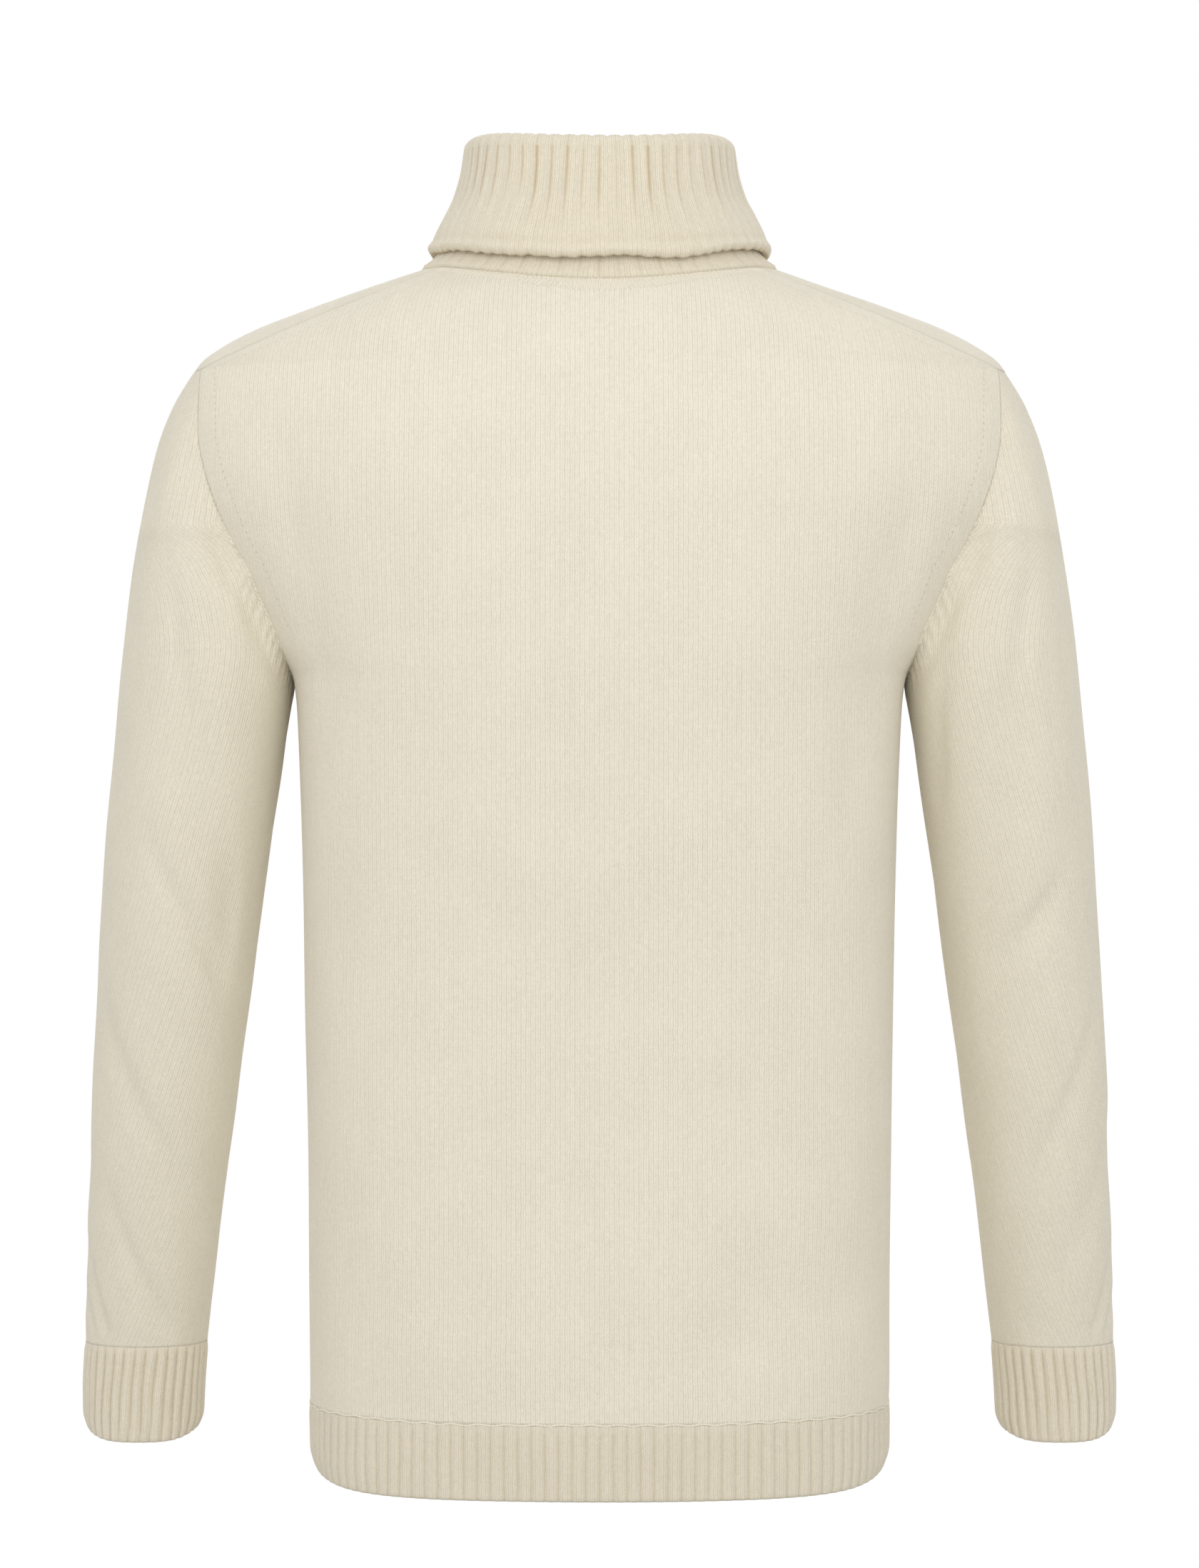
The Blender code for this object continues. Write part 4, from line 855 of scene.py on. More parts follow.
def bell(value, middle, reach):
    """Bell of height 1 round a middle: e to the minus square of the distance over the reach,
    both in mm."""
    return np.exp(-((value - middle * MM) / (reach * MM)) ** 2)


sleeve_points, out_of_body = sleeve_grid()
sleeve_out = tube_directions(sleeve_points)
alike = smooth_step((np.sum(out_of_body * sleeve_out[0], axis=-1, keepdims=True) - 0.2) / 0.5)
sleeve_out[0] = unit(out_of_body * alike + sleeve_out[0] * (1 - alike))
turn, radius, _ = sleeve_stitches(sleeve_points)
from_armhole = walked(sleeve_points, 0)
from_cuff = from_armhole[-1:] - from_armhole
way_round = turn * radius
wide_turn, wide_radius, wide_down = sleeve_stitches(once_more(sleeve_points))
wide_turn[:, 0], wide_turn[:, -1] = -math.pi, math.pi
wide_turn = np.unwrap(wide_turn, axis=1)
sleeve_surface = np.stack([wide_turn * wide_radius, -wide_down], axis=-1)
seam_way = walked(once_more(sleeve_points[:1]), 1)[:, :-1]
seam_height = sleeve_points[0, :, 2]
valley = fade(-seam_height, 110, 60) * fade(seam_height - UNDERARM, 4, 34)
valley = VALLEY_DEPTH * valley * bell(from_armhole, 13, 9)
pucker_depth = PUCKER_DEPTH * (0.25 + 0.75 * fade(-seam_height, 150, 40))
pucker_reach = bell(from_armhole, 5, 7)
calm = smooth_step(np.minimum(from_armhole, from_cuff) / SLEEVE_STILL_EDGE)
share = fullness(from_armhole, SEAM_WIDTH, pinch(sleeve_points[..., 2]))
both_creases = (SLEEVE_FOLDS_LEFT, SLEEVE_FOLDS_RIGHT)
for (side, mirror), creases, seed in zip(MIRRORS.items(), both_creases, (31, 37)):
    sway = CREASES_DEEPER * folds(way_round, from_armhole, creases)
    sway += unevenness(way_round, from_armhole, seed, 0.10, 0.8 * MM)
    beat = seam_way / PUCKER_PITCH * 2 * math.pi + unevenness(seam_way, seam_way * 0, seed, 0.03, 2.6)
    sway = sway * calm + pucker_depth * np.sin(beat) * pucker_reach - valley
    outer, inner = knitted_wall(sleeve_points, sleeve_out, sway, share)
    inner[-1, :, 2] = outer[-1, :, 2]
    # Painted shade darkens the colour along the armhole seam, by how much the wall is drawn in.
    sleeve = cloth_mesh(f"sleeve_knit_{side}", outer * mirror, inner * mirror, sleeve_surface,
                        0.4 * (1 - share), [sleeve_shaded_face, knit_wrong], closed=True)
    fasten(sleeve, "knit", f"sleeve_top_{side}", f"sleeve_{side}")


# ---------------------------------------------------------------- cuffs
# Each cuff is a tube of rib, two wales forward and one back, knitted on to the sleeve. It
# draws in, so the furrows are deep and lean a little towards the outer side.
# Rings: height, outer edge, inner edge, half depth, middle of the depth (mm)
CUFF = np.array([
    (-611.0, 296.2, 226.4, 33.5, -24.0), (-638.0, 297.6, 228.4, 32.5, -25.5),
    (-666.0, 297.4, 229.6, 31.5, -27.0),
]) * MM
CUFF_RIBS, CUFF_ROWS = 34, 26
CUFF_PITCH, CUFF_FURROW, CUFF_ROUND_EDGE = 6.2 * MM, 0.17, 2.2 * MM
CUFF_LEAN = 0.42
CUFF_RISE, CUFF_RISES_FROM = 4.2 * MM, 30.0 * MM
CUFF_TUCK, CUFF_TUCKS_FROM = 3.4 * MM, 42.0 * MM
# Its second colour is the painted shade colour of the furrows.
cuff_face = wool("cuff rib", (0.80, 0.745, 0.615), (0.53, 0.44, 0.30), CUFF_PITCH / 3, COURSE, 0.8)


def cuff_grid():
    """Level rings from the sleeve to the lower edge: points, outward directions, columns
    counted in ribs, and the turn of each."""
    phase = rib_phase(CUFF_RIBS)
    height = CUFF[0, 0] + (CUFF[-1, 0] - CUFF[0, 0]) * closer_at_ends(CUFF_ROWS, 0.7)[:, None]
    far, near, half_depth, middle = [curve(-CUFF[:, 0], CUFF[:, column], -height) for column in range(1, 5)]
    around = phase[:-1] / CUFF_RIBS * 2 * math.pi
    points = ellipse_ring(far, height, near, height, half_depth, middle, around)
    outward = tube_directions(points)
    outward[..., 2] = 0
    return points, unit(outward), phase, around


points, outward, phase, around = cuff_grid()
down = walked(points, 0)
lean = CUFF_LEAN * np.sin(around) * fade(down, 0, 60)
strength = fade(down, -1.5, 7)
share = fullness(down[-1:] - down, CUFF_ROUND_EDGE, 0.12)
rise = smooth_step((down - CUFF_RISES_FROM) / (down[-1:] - CUFF_RISES_FROM))
tuck = np.clip((down - CUFF_TUCKS_FROM) / (down[-1:] - CUFF_TUCKS_FROM), 0, 1) ** 2
for (side, mirror), seed in zip(MIRRORS.items(), (41, 47)):
    wander = unevenness(down * 0 + np.cos(around) * 0.06, down + np.sin(around) * 0.05, seed, 0.035, 0.11)
    here = phase[:-1] - lean + wander
    ribs, back_ribs = rib_height(here, CUFF_FURROW), rib_height(here + 0.5, CUFF_FURROW)
    outer = points + outward * ((1.35 * ribs - 0.85) * RIB_RAISED * strength)[..., None]
    inner = points - outward * (RIB_WALL + RIB_RAISED / 2 * back_ribs)[..., None]
    outer, inner = wall(outer, inner, share)
    for grid in (outer, inner):
        grid[..., 2] += CUFF_RISE * np.abs(np.cos(around)) ** 4 * rise
        grid[..., 0] += CUFF_TUCK * np.cos(around) * np.abs(np.cos(around)) ** 2 * tuck
    surface = np.stack([(phase - once_more(lean) + once_more(wander)) * CUFF_PITCH, once_more(down)], -1)
    # Painted shade in the rib furrows.
    painted_shade_amount = 0.7 * (1 - np.clip(ribs, 0, 1)) * strength
    cuff = cloth_mesh(f"cuff_rib_{side}", outer * mirror, inner * mirror, surface, painted_shade_amount,
                      [cuff_face, rib_wrong], closed=True)
    fasten(cuff, "rib", f"cuff_{side}")


# ---------------------------------------------------------------- collar
# One strip of the same rib, linked to the neck, stands up and folds over outwards, so its
# right side shows on the fall and on the neck side of the stand. The lower edge is left as
# knitted: a soft, slightly rolled bead that runs in and out with the ribs.
# Middle of the wall: height at the back, side and front, half width, back depth, front depth,
# half the opening at the front (mm), power of the fall to the front
COLLAR_STAND = np.array([
    (-9.6, 3.3, -66.0, 101.0, 80.0, 87.0, 4.0, 2.4), (-5.0, 7.5, -60.0, 94.6, 78.2, 86.5, 4.0, 2.3),
    (9.0, 19.0, -45.0, 85.0, 74.5, 85.5, 4.0, 2.1), (31.0, 38.0, -22.0, 74.0, 70.0, 83.5, 4.0, 1.9),
    (50.0, 56.0, -5.0, 67.5, 67.0, 82.0, 5.0, 1.7),
]) * (MM, MM, MM, MM, MM, MM, MM, 1.0)
COLLAR_FOLD = np.array([64.1, 71.2, 5.2, 71.0, 70.5, 86.0, 8.0, 1.6]) * (MM, MM, MM, MM, MM, MM, MM, 1.0)
COLLAR_FALL = np.array([
    (53.0, 57.5, -8.0, 77.8, 78.0, 94.0, 12.0, 1.7), (38.0, 44.0, -24.0, 81.4, 80.5, 96.5, 15.0, 1.9),
    (24.0, 32.0, -37.0, 88.0, 82.5, 98.5, 18.0, 2.0), (12.0, 21.5, -48.0, 93.4, 83.2, 100.0, 21.0, 2.1),
    (1.5, 12.0, -58.0, 96.0, 83.2, 101.0, 24.0, 2.2),
]) * (MM, MM, MM, MM, MM, MM, MM, 1.0)
COLLAR_FOLD_RADIUS = 5.3 * MM
COLLAR_FOLD_OPENING_CHANGE = 3.0 * MM
COLLAR_RIBS, COLLAR_PITCH = 52, 9.6 * MM
COLLAR_FURROW, COLLAR_BACK_FURROW = 0.13, 0.11
COLLAR_RIB_RAISED = 0.75 * MM
COLLAR_ROUND_EDGE, COLLAR_ROUND_FRONT = 3.0 * MM, 2.0 * MM
BEAD_HEIGHT, CREVICE_DEPTH = 2.6 * MM, 1.5 * MM
# Its second colour is the painted shade colour of the furrows, crevice and lower edge.
collar_face = wool("collar rib", (0.80, 0.745, 0.61), (0.56, 0.445, 0.29), COLLAR_PITCH / 4, COURSE, 1.0)
COLLAR_FOLDS = [
    ((78, 12), (46, 9), (14, 11), 4.5, 0.2, -1.1), ((-20, 13), (-52, 10), (-82, 13), 5.0, 0.2, -0.6),
    ((-60, 60), (-66, 36), (-80, 16), 9, 0.2, -0.9), ((64, 60), (70, 38), (86, 18), 9, -0.2, -0.9),
    ((150, 48), (160, 30), (176, 14), 10, 0.2, -1.2), ((-152, 50), (-164, 30), (-172, 12), 10, 0.2, -1.2),
    ((118, 56), (120, 34), (112, 14), 9, 0.2, -0.9), ((-112, 54), (-122, 36), (-126, 14), 9, 0.2, -0.8),
]


def collar_profile():
    """Rows of the collar's middle from the neck seam, up the stand, round the fold as a half
    circle and down the fall, resampled along the length at the centre back; with each row's
    place on that length and the place where the fall starts."""
    turn = np.linspace(0, math.pi, 13)
    fold = np.repeat(COLLAR_FOLD[None], len(turn), axis=0)
    fold[:, 0:3] += (COLLAR_FOLD_RADIUS * np.sin(turn))[:, None]
    fold[:, 3:6] -= (COLLAR_FOLD_RADIUS * np.cos(turn))[:, None]
    fold[:, 6] += COLLAR_FOLD_OPENING_CHANGE * (turn / math.pi - 0.5)
    keys = np.vstack([COLLAR_STAND, fold, COLLAR_FALL])
    length = walked(keys[:, [0, 4]], 0)
    first, last = length[len(COLLAR_STAND)], length[len(COLLAR_STAND) + len(fold) - 1]
    at = np.concatenate([closer_at_ends(32, 0.4) * first, np.linspace(first, last, 15)[1:-1],
                         last + closer_at_ends(34, 0.5) * (length[-1] - last)])
    return np.stack([curve(length, column, at) for column in keys.T], axis=1), at, last


def collar_surface(profile, angle):
    """Points of the collar's middle, [row, column], at angles from the centre back: an ellipse
    whose height falls from side to back and front by a power of the cosine."""
    back, side, front, half_width, back_depth, front_depth, _, power = profile.T[:, :, None]
    sine, cosine = np.sin(angle), np.cos(angle)
    size = np.abs(cosine)
    z = side + np.where(cosine >= 0, (back - side) * size ** 2, (front - side) * size ** power)
    y = np.where(cosine >= 0, back_depth, front_depth) * cosine
    return np.stack([half_width * sine, y, z], axis=-1)


def grid_directions(grid):
    """Directions square to a grid, to the collar's right side: the cross product of its ways."""
    return unit(np.cross(np.gradient(grid, axis=0), np.gradient(grid, axis=1)))


def neck_seam(angle):
    """Neck seam's points and directions out of the body, at angles seen from above: the top
    rows of both panels, read as one closed line."""
    rows = np.concatenate([np.concatenate([back_points[-1], front_points[-1]]),
                           np.concatenate([back_out[-1], front_out[-1]])], axis=1)
    rows = rows[np.argsort(np.arctan2(rows[:, 0], rows[:, 1]))]
    own = np.arctan2(rows[:, 0], rows[:, 1])
    found = np.stack([np.interp(angle, own, column, period=2 * math.pi) for column in rows.T], axis=-1)
    return found[..., :3], unit(found[..., 3:])


profile, collar_way, fall_top = collar_profile()
front_edge = math.pi - np.arcsin(profile[:, 6] / profile[:, 3])
phase = rib_phase(COLLAR_RIBS)
angle = front_edge[:, None] * (phase / COLLAR_RIBS * 2 - 1)
middle = collar_surface(profile, angle)
seam_points, seam_out = neck_seam(np.arctan2(middle[0, :, 0], middle[0, :, 1]))
middle[0] = seam_points - seam_out * KNIT_WALL / 2
right = grid_directions(middle)
across = walked(middle, 1)
across -= across[:, -1:] / 2
up = walked(middle, 0)
from_edge = up[-1:] - up
from_front = np.minimum(across - across[:, :1], across[:, -1:] - across)
on_fall = fade(collar_way - fall_top, -6, 12)[:, None]
wander = unevenness(across, up, 51, 0.05, 0.16)
here = phase + wander
ribs, back_ribs = rib_height(here, COLLAR_FURROW), rib_height(here + 0.5, COLLAR_BACK_FURROW)
draw = np.random.default_rng(52)
furrows = draw.uniform(0.45, 1.0, COLLAR_RIBS + 2)
of_its_own = furrows[np.clip(np.round(here), 0, COLLAR_RIBS).astype(int)]
of_its_own = np.clip(of_its_own + unevenness(across, up * 0.6, 54, 0.035, 0.5), 0.1, 1)
strength = np.where(on_fall > 0.5, 0.12 + 0.88 * fade(from_edge, 12, 34), 0.45) * fade(up, -1, 5)
by_front = fade(from_front, 12, 16)
sway = folds(across, from_edge, COLLAR_FOLDS) * on_fall
sway += unevenness(across, up, 53, 0.075, 0.9 * MM) * fade(np.minimum(up, from_edge + 6 * MM), 0, 14)
bead = BEAD_HEIGHT * bell(from_edge, 3.6, 2.8)
crevice = CREVICE_DEPTH * bell(from_edge, 9.0, 1.9)
crevice = crevice * (0.6 + unevenness(across, across * 0, 59, 0.06, 0.6))
knobs = unevenness(across, from_edge * 1.4, 58, 0.0085, 0.5 * MM) * bell(from_edge, 4, 4.5)
ragged = (0.4 * MM * np.cos(2 * math.pi * (phase * 1.18 + 3 * wander))
          + unevenness(across, across * 0, 57, 0.045, 2.4 * MM)
          + unevenness(across, across * 0, 61, 0.007, 0.5 * MM))
middle = middle + right * (sway * by_front)[..., None]
middle[..., 2] += ragged * smooth_step(1 - from_edge / (11 * MM))
raised = COLLAR_RIB_RAISED * ribs * strength + (bead - crevice + knobs) * by_front
sunk = COLLAR_RIB_RAISED * (back_ribs - 1) + bead * 0.6
rib_side = middle + right * (RIB_WALL / 2 + raised)[..., None]
plain_side = middle - right * (RIB_WALL / 2 + sunk)[..., None]
share = np.minimum(fullness(up, SEAM_WIDTH, 0.75), fullness(from_edge, COLLAR_ROUND_EDGE, 0.1))
share = np.minimum(share, fullness(from_front, COLLAR_ROUND_FRONT, 0.3))
rib_side, plain_side = wall(rib_side, plain_side, share)
surface = np.stack(np.broadcast_arrays(here * COLLAR_PITCH, up), -1)
# Painted shade in the rib furrows, each furrow its own strength, and in the crevice above the bead, with a
# painted shadow along the underside of the lower edge.
painted_shade_amount = 1.15 * np.clip(1 - ribs, 0, 1) * strength * of_its_own
painted_shade_amount += 0.3 * np.clip(crevice / CREVICE_DEPTH, 0, 1) + 0.9 * smooth_step(1 - from_edge / (1.3 * MM))
collar = cloth_mesh("collar_rib", rib_side, plain_side, surface, painted_shade_amount, [collar_face, collar_face])
fasten(collar, "rib", "collar")


# ---------------------------------------------------------------- linking stitches
# Where the collar is linked on, a band of long stitches runs down from the neck seam. A
# chained ridge of the same yarn closes the hem seam, and knobbly rolls of it lie in the
# valleys of the armhole seams.
NECK_BAND, NECK_PITCH, BELOW_NECK_SEAM = 8.0 * MM, 2.7 * MM, 0.8 * MM
NECK_STITCH_WIDTH, NECK_STITCH_HEIGHT = 1.5 * MM, 0.42 * MM
HEM_CHAIN_PITCH, HEM_CHAIN_SIZE = 2.2 * MM, (2.6 * MM, 1.3 * MM, 0.5 * MM)
ARMHOLE_PITCH = 3.0 * MM


def yarn_look():
    """Plied yarn: cream with fine fibre noise in colour and height."""
    made, tree, shader = new_look("linking yarn", {
        "Roughness": 0.9, "Specular IOR Level": 0.25, "Sheen Weight": 0.2})
    fibre = from_group(tree, NAP, {"Place": object_place(tree)})["Fibre"]
    shade = blend_colours(tree, fibre, (0.74, 0.69, 0.57, 1.0), (0.87, 0.82, 0.70, 1.0))
    tree.links.new(shade, shader["Base Color"])
    add_bump(tree, shader, fibre, 0.5, 0.4 * MM)
    return made


yarn = yarn_look()


def evenly(line, *others, pitch):
    """A line of points, and directions along it, read again at an even pitch."""
    length = walked(line, 0)
    at = np.arange(pitch / 2, length[-1], pitch)
    return read_along(at, length, line), *[unit(read_along(at, length, values)) for values in others]


def ring_quads(rings, around, closed=False):
    """Faces between neighbouring rings of a form whose points are numbered ring by ring."""
    r, a = np.meshgrid(np.arange(rings if closed else rings - 1), np.arange(around), indexing="ij")
    after, beside = (r + 1) % rings, (a + 1) % around
    quads = np.stack([r * around + a, r * around + beside, after * around + beside, after * around + a], -1)
    return quads.reshape(-1, 4)


def looks_inwards(shape, face):
    """Whether one face of a form looks towards the form's middle."""
    probe = shape[face] - shape.mean(axis=0)
    return np.dot(np.cross(probe[1] - probe[0], probe[2] - probe[0]), probe.mean(axis=0)) < 0


def repeated(name, points, caps, look, smooth):
    """One mesh of many like forms, [form, ring, corner, xyz], closed by the same caps."""
    count, rings, around = points.shape[:3]
    faces = np.concatenate([ring_quads(rings, around), caps])
    if looks_inwards(points[0].reshape(-1, 3), faces[0]):
        faces = faces[:, ::-1]
    every = faces[None] + rings * around * np.arange(count)[:, None, None]
    mesh = bpy.data.meshes.new(name)
    mesh.from_pydata(points.reshape(-1, 3).tolist(), [], every.reshape(-1, 4).tolist())
    if smooth:
        mesh.shade_smooth()
    mesh.materials.append(look)
    return add_object(name, mesh)


def stitches(name, centres, along, outward, size):
    """Short stitches as slim beads: six-sided rings along each stitch, thick in its middle.
    `size` is length, width and height, one row for all or one for each stitch."""
    reach = np.array([-0.5, -0.36, 0.0, 0.36, 0.5])[None, :, None, None]
    swell = np.array([0.25, 0.85, 1.0, 0.85, 0.25])[None, :, None, None]
    turn = np.arange(6) / 6 * 2 * math.pi
    ring = swell * np.stack([np.cos(turn), np.sin(turn)], -1)
    size = np.broadcast_to(size, (len(centres), 3))[:, None, None, :]
    axes = (along, unit(np.cross(along, outward)), outward)
    lead, sideways, rise = [axis[:, None, None, :] for axis in axes]
    points = (centres[:, None, None, :] + lead * size[..., 0:1] * reach
              + sideways * size[..., 1:2] / 2 * ring[..., 0:1] + rise * size[..., 2:3] * ring[..., 1:2])
    caps = np.array([[0, 5, 4, 3], [0, 3, 2, 1], [24, 25, 26, 27], [24, 27, 28, 29]])
    return repeated(name, points, caps, yarn, smooth=True)


def below_edge(grid, up, distance):
    """Line on a grid at a distance below its last row, read between rows column by column."""
    wanted = up[-1] - distance
    columns = np.swapaxes(grid, 0, 1)
    return np.array([read_along(w, u, column) for w, u, column in zip(wanted, up.T, columns)])


centres, along, outward = [], [], []
for grid, facing, up, span in (
        (back_outer, back_out, back_up, np.s_[4:-4]),
        (front_outer, front_out, front_up, np.s_[SHOULDER_COLUMNS + 3:SLIT_COLUMN - 2]),
        (front_outer, front_out, front_up, np.s_[SLIT_COLUMN + 4:front_cells - SHOULDER_COLUMNS - 2])):
    grid, facing, up = grid[:, span], facing[:, span], up[:, span]
    middle_line = below_edge(grid, up, NECK_BAND / 2 + BELOW_NECK_SEAM)
    down_line = (below_edge(grid, up, NECK_BAND + BELOW_NECK_SEAM)
                 - below_edge(grid, up, BELOW_NECK_SEAM))
    found = evenly(middle_line, down_line, below_edge(facing, up, NECK_BAND / 2), pitch=NECK_PITCH)
    for store, values in zip((centres, along, outward), found):
        store.append(values)
centres, along, outward = [np.concatenate(values) for values in (centres, along, outward)]
draw = np.random.default_rng(71)
length = NECK_BAND * draw.uniform(0.8, 1.05, len(centres))
size = np.stack(np.broadcast_arrays(length, NECK_STITCH_WIDTH, NECK_STITCH_HEIGHT), 1)
fasten(stitches("neck_linking_stitches", centres, along, outward, size), "knit")

line, facing = figure(np.linspace(0, 2 * math.pi, 1600), np.full(1600, HEM_TOP))
line, facing = evenly(line, facing, pitch=HEM_CHAIN_PITCH)
line[:, 2] += (0.35 * MM * np.sin(np.arange(len(line)) * 0.9)
               + unevenness(line[:, 0], line[:, 1], 72, 0.12, 0.9 * MM))
along = unit(np.roll(line, -1, 0) - np.roll(line, 1, 0) + np.array((0, 0, 0.5 * MM)))
fasten(stitches("hem_linking_stitches", line, along, facing, HEM_CHAIN_SIZE), "rib")

seam_facing = unit(out_of_body + sleeve_out[0])
for (side, mirror), seed in zip(MIRRORS.items(), (73, 74)):
    line, facing = [once_more(values[None])[0] * mirror for values in (sleeve_points[0], seam_facing)]
    line, facing = evenly(line, facing, pitch=ARMHOLE_PITCH)
    onward = unit(np.roll(line, -1, 0) - np.roll(line, 1, 0))
    onward = unit(onward + 0.35 * mirror[0] * np.cross(facing, onward))
    draw = np.random.default_rng(seed)
    depth = (1.9 - 0.95 * fade(-line[:, 2], 105, 50) + draw.uniform(-0.2, 0.2, len(line))) * MM
    size = [draw.uniform(least, most, len(line)) for least, most in ((5.0, 6.4), (2.6, 3.4), (1.2, 1.5))]
    roll = stitches(f"armhole_linking_{side}", line - facing * depth[:, None], onward, facing,
                    np.stack(size, 1) * MM)
    fasten(roll, "knit")


# ---------------------------------------------------------------- zip tapes
# Two woven tapes sewn behind the slit, up the neck side of the stand, over the fold and down
# the outside of the fall. Their inner edges carry the teeth, and a row of sewing shows beside
# the slit and on each tape.
TAPE_THICKNESS, TAPE_GAP = 1.0 * MM, 0.3 * MM
TAPE_OFFSETS = np.array([-3.85, -3.3, 0.5, 5.0, 8.9, 9.5]) * MM
TAPE_BELOW_SLIT = 10.0 * MM
TAPE_SHORT_OF_EDGE = 0.12
TAPE_ROWS = 260
TWILL_PITCH, TWILL_SLANT, WARP_PITCH = 0.62 * MM, 1.4, 0.55 * MM
SEWN_BESIDE_SLIT, SEWN_ON_TAPE = 7.0 * MM, 7.9 * MM
SEWING_PITCH, SEWING_SIZE = 3.4 * MM, (2.6 * MM, 0.75 * MM, 0.3 * MM)


def tape_look():
    """Woven tape: fine ribs along it and a twill's slant across, each a sine, added; its colour is darker
    where the weave is low, as painted shade between the threads.
    """
    made, tree, shader = new_look("woven zip tape", {"Roughness": 0.72, "Sheen Weight": 0.1})
    stitch_map = place(tree, "ShaderNodeUVMap", {}, uv_map="stitches")
    split = place(tree, "ShaderNodeSeparateXYZ", {0: stitch_map}).node.outputs
    slant = calc(tree, "MULTIPLY_ADD", split["X"], TWILL_SLANT, split["Y"])
    twill = calc(tree, "SINE", times(tree, slant, 2 * math.pi / TWILL_PITCH))
    warp = calc(tree, "SINE", times(tree, split["X"], 2 * math.pi / WARP_PITCH))
    weave = calc(tree, "MULTIPLY_ADD", calc(tree, "ADD", twill, warp), 0.25, 0.5)
    # Painted shade: darker where the weave is low.
    shade = blend_colours(tree, weave, (0.60, 0.55, 0.44, 1.0), (0.76, 0.71, 0.60, 1.0))
    tree.links.new(shade, shader["Base Color"])
    add_bump(tree, shader, weave, 0.6, 0.15 * MM)
    return made


def tape_keys():
    """Near and far faces of the left tape, [row, offset, xyz]: behind the front's slit, then
    on the right side of the collar beside its front edge."""
    on_panel = front_points[:, SLIT_COLUMN] - front_out[:, SLIT_COLUMN] * KNIT_WALL
    facing = -front_out[:, SLIT_COLUMN]
    beside = on_panel[:, 2] > UNDERARM - TAPE_BELOW_SLIT - 1 * MM
    beside[-1] = False
    chest = on_panel[beside][::3, None] + np.array((1.0, 0, 0)) * TAPE_OFFSETS[None, :, None]
    chest_facing = np.broadcast_to(facing[beside][::3, None], chest.shape)
    rows = profile[2:].copy()
    rows[-1] += (rows[-4] - rows[-1]) * TAPE_SHORT_OF_EDGE
    edge = math.pi - np.arcsin(rows[:, 6] / rows[:, 3])
    fine = np.concatenate([[TAPE_OFFSETS[0] - MM], TAPE_OFFSETS, [TAPE_OFFSETS[-1] + MM]])
    centre = collar_surface(rows, edge[:, None] - fine[None, :] / rows[:, 3:4])
    facing = grid_directions(centre)[:, 1:-1]
    near = np.concatenate([chest + chest_facing * TAPE_GAP,
                           centre[:, 1:-1] + facing * (RIB_WALL / 2 + RIB_RAISED + TAPE_GAP)])
    return near, near + np.concatenate([chest_facing, facing]) * TAPE_THICKNESS


def tape_grids():
    """The tape's faces read again at even steps along its inner edge."""
    near, far = tape_keys()
    length = walked(near[:, 0], 0)
    at = np.linspace(0, length[-1], TAPE_ROWS)
    columns = [np.stack([curve(length, values, at) for values in key.T], 1)
               for keys in (near, far) for key in np.swapaxes(keys, 0, 1)]
    across = len(TAPE_OFFSETS)
    return np.stack(columns[:across], axis=1), np.stack(columns[across:], axis=1), at


tape_cloth = tape_look()
tape_near, tape_far, tape_way = tape_grids()
tape_surface = np.stack(np.broadcast_arrays(TAPE_OFFSETS[None, :], tape_way[:, None]), -1)
for side, mirror in MIRRORS.items():
    tape = cloth_mesh(f"zip_tape_woven_{side}", tape_far * mirror, tape_near * mirror, tape_surface, None,
                      [tape_cloth, tape_cloth])
    fasten(tape, "tape", f"zip_tape_{side}")

split_rows = range(UNDERARM_ROW, len(EDGE_HEIGHTS) - 1)
on_tape = (SEWN_ON_TAPE - TAPE_OFFSETS[3]) / (TAPE_OFFSETS[4] - TAPE_OFFSETS[3])
tape_line = tape_far[4:-2, 3] * (1 - on_tape) + tape_far[4:-2, 4] * on_tape
tape_facing = unit(tape_far - tape_near)[4:-2, 4]
for side, mirror in MIRRORS.items():
    wanted = -mirror[0] * (SLIT_HALF_WIDTH + SEWN_BESIDE_SLIT)
    panel_line, panel_facing = [np.array([read_along(wanted, front_across[r], grid[r]) for r in split_rows])
                                for grid in (front_outer, front_out)]
    for under, line, facing in (("front", panel_line, unit(panel_facing)),
                                ("tape", tape_line * mirror, tape_facing * mirror)):
        line, facing = evenly(line, facing, pitch=SEWING_PITCH)
        onward = unit(np.gradient(line, axis=0))
        fasten(stitches(f"zip_sewing_{under}_{side}", line, onward, facing, SEWING_SIZE), "tape")


# ---------------------------------------------------------------- zip teeth
# Nickel-plated teeth crimped on the tapes' edges, meshed from the bottom stop up to the
# slider and apart above it. Each is a small bar with a waist behind a rounded head.
TOOTH_PITCH, FIRST_TOOTH = 2.5 * MM, 0.9 * MM
STOP_TOP, LAST_BEFORE_EDGE = UNDERARM + 4.6 * MM, 2.5 * MM
# Way over the tape from its edge, half length along the zip, half thickness (mm)
TOOTH = np.array([(2.5, 0.35, 0.75), (2.15, 0.62, 1.08), (0.6, 0.62, 1.08), (0.05, 0.48, 0.95),
                  (-0.4, 0.60, 0.95), (-0.85, 0.45, 0.6)]) * MM


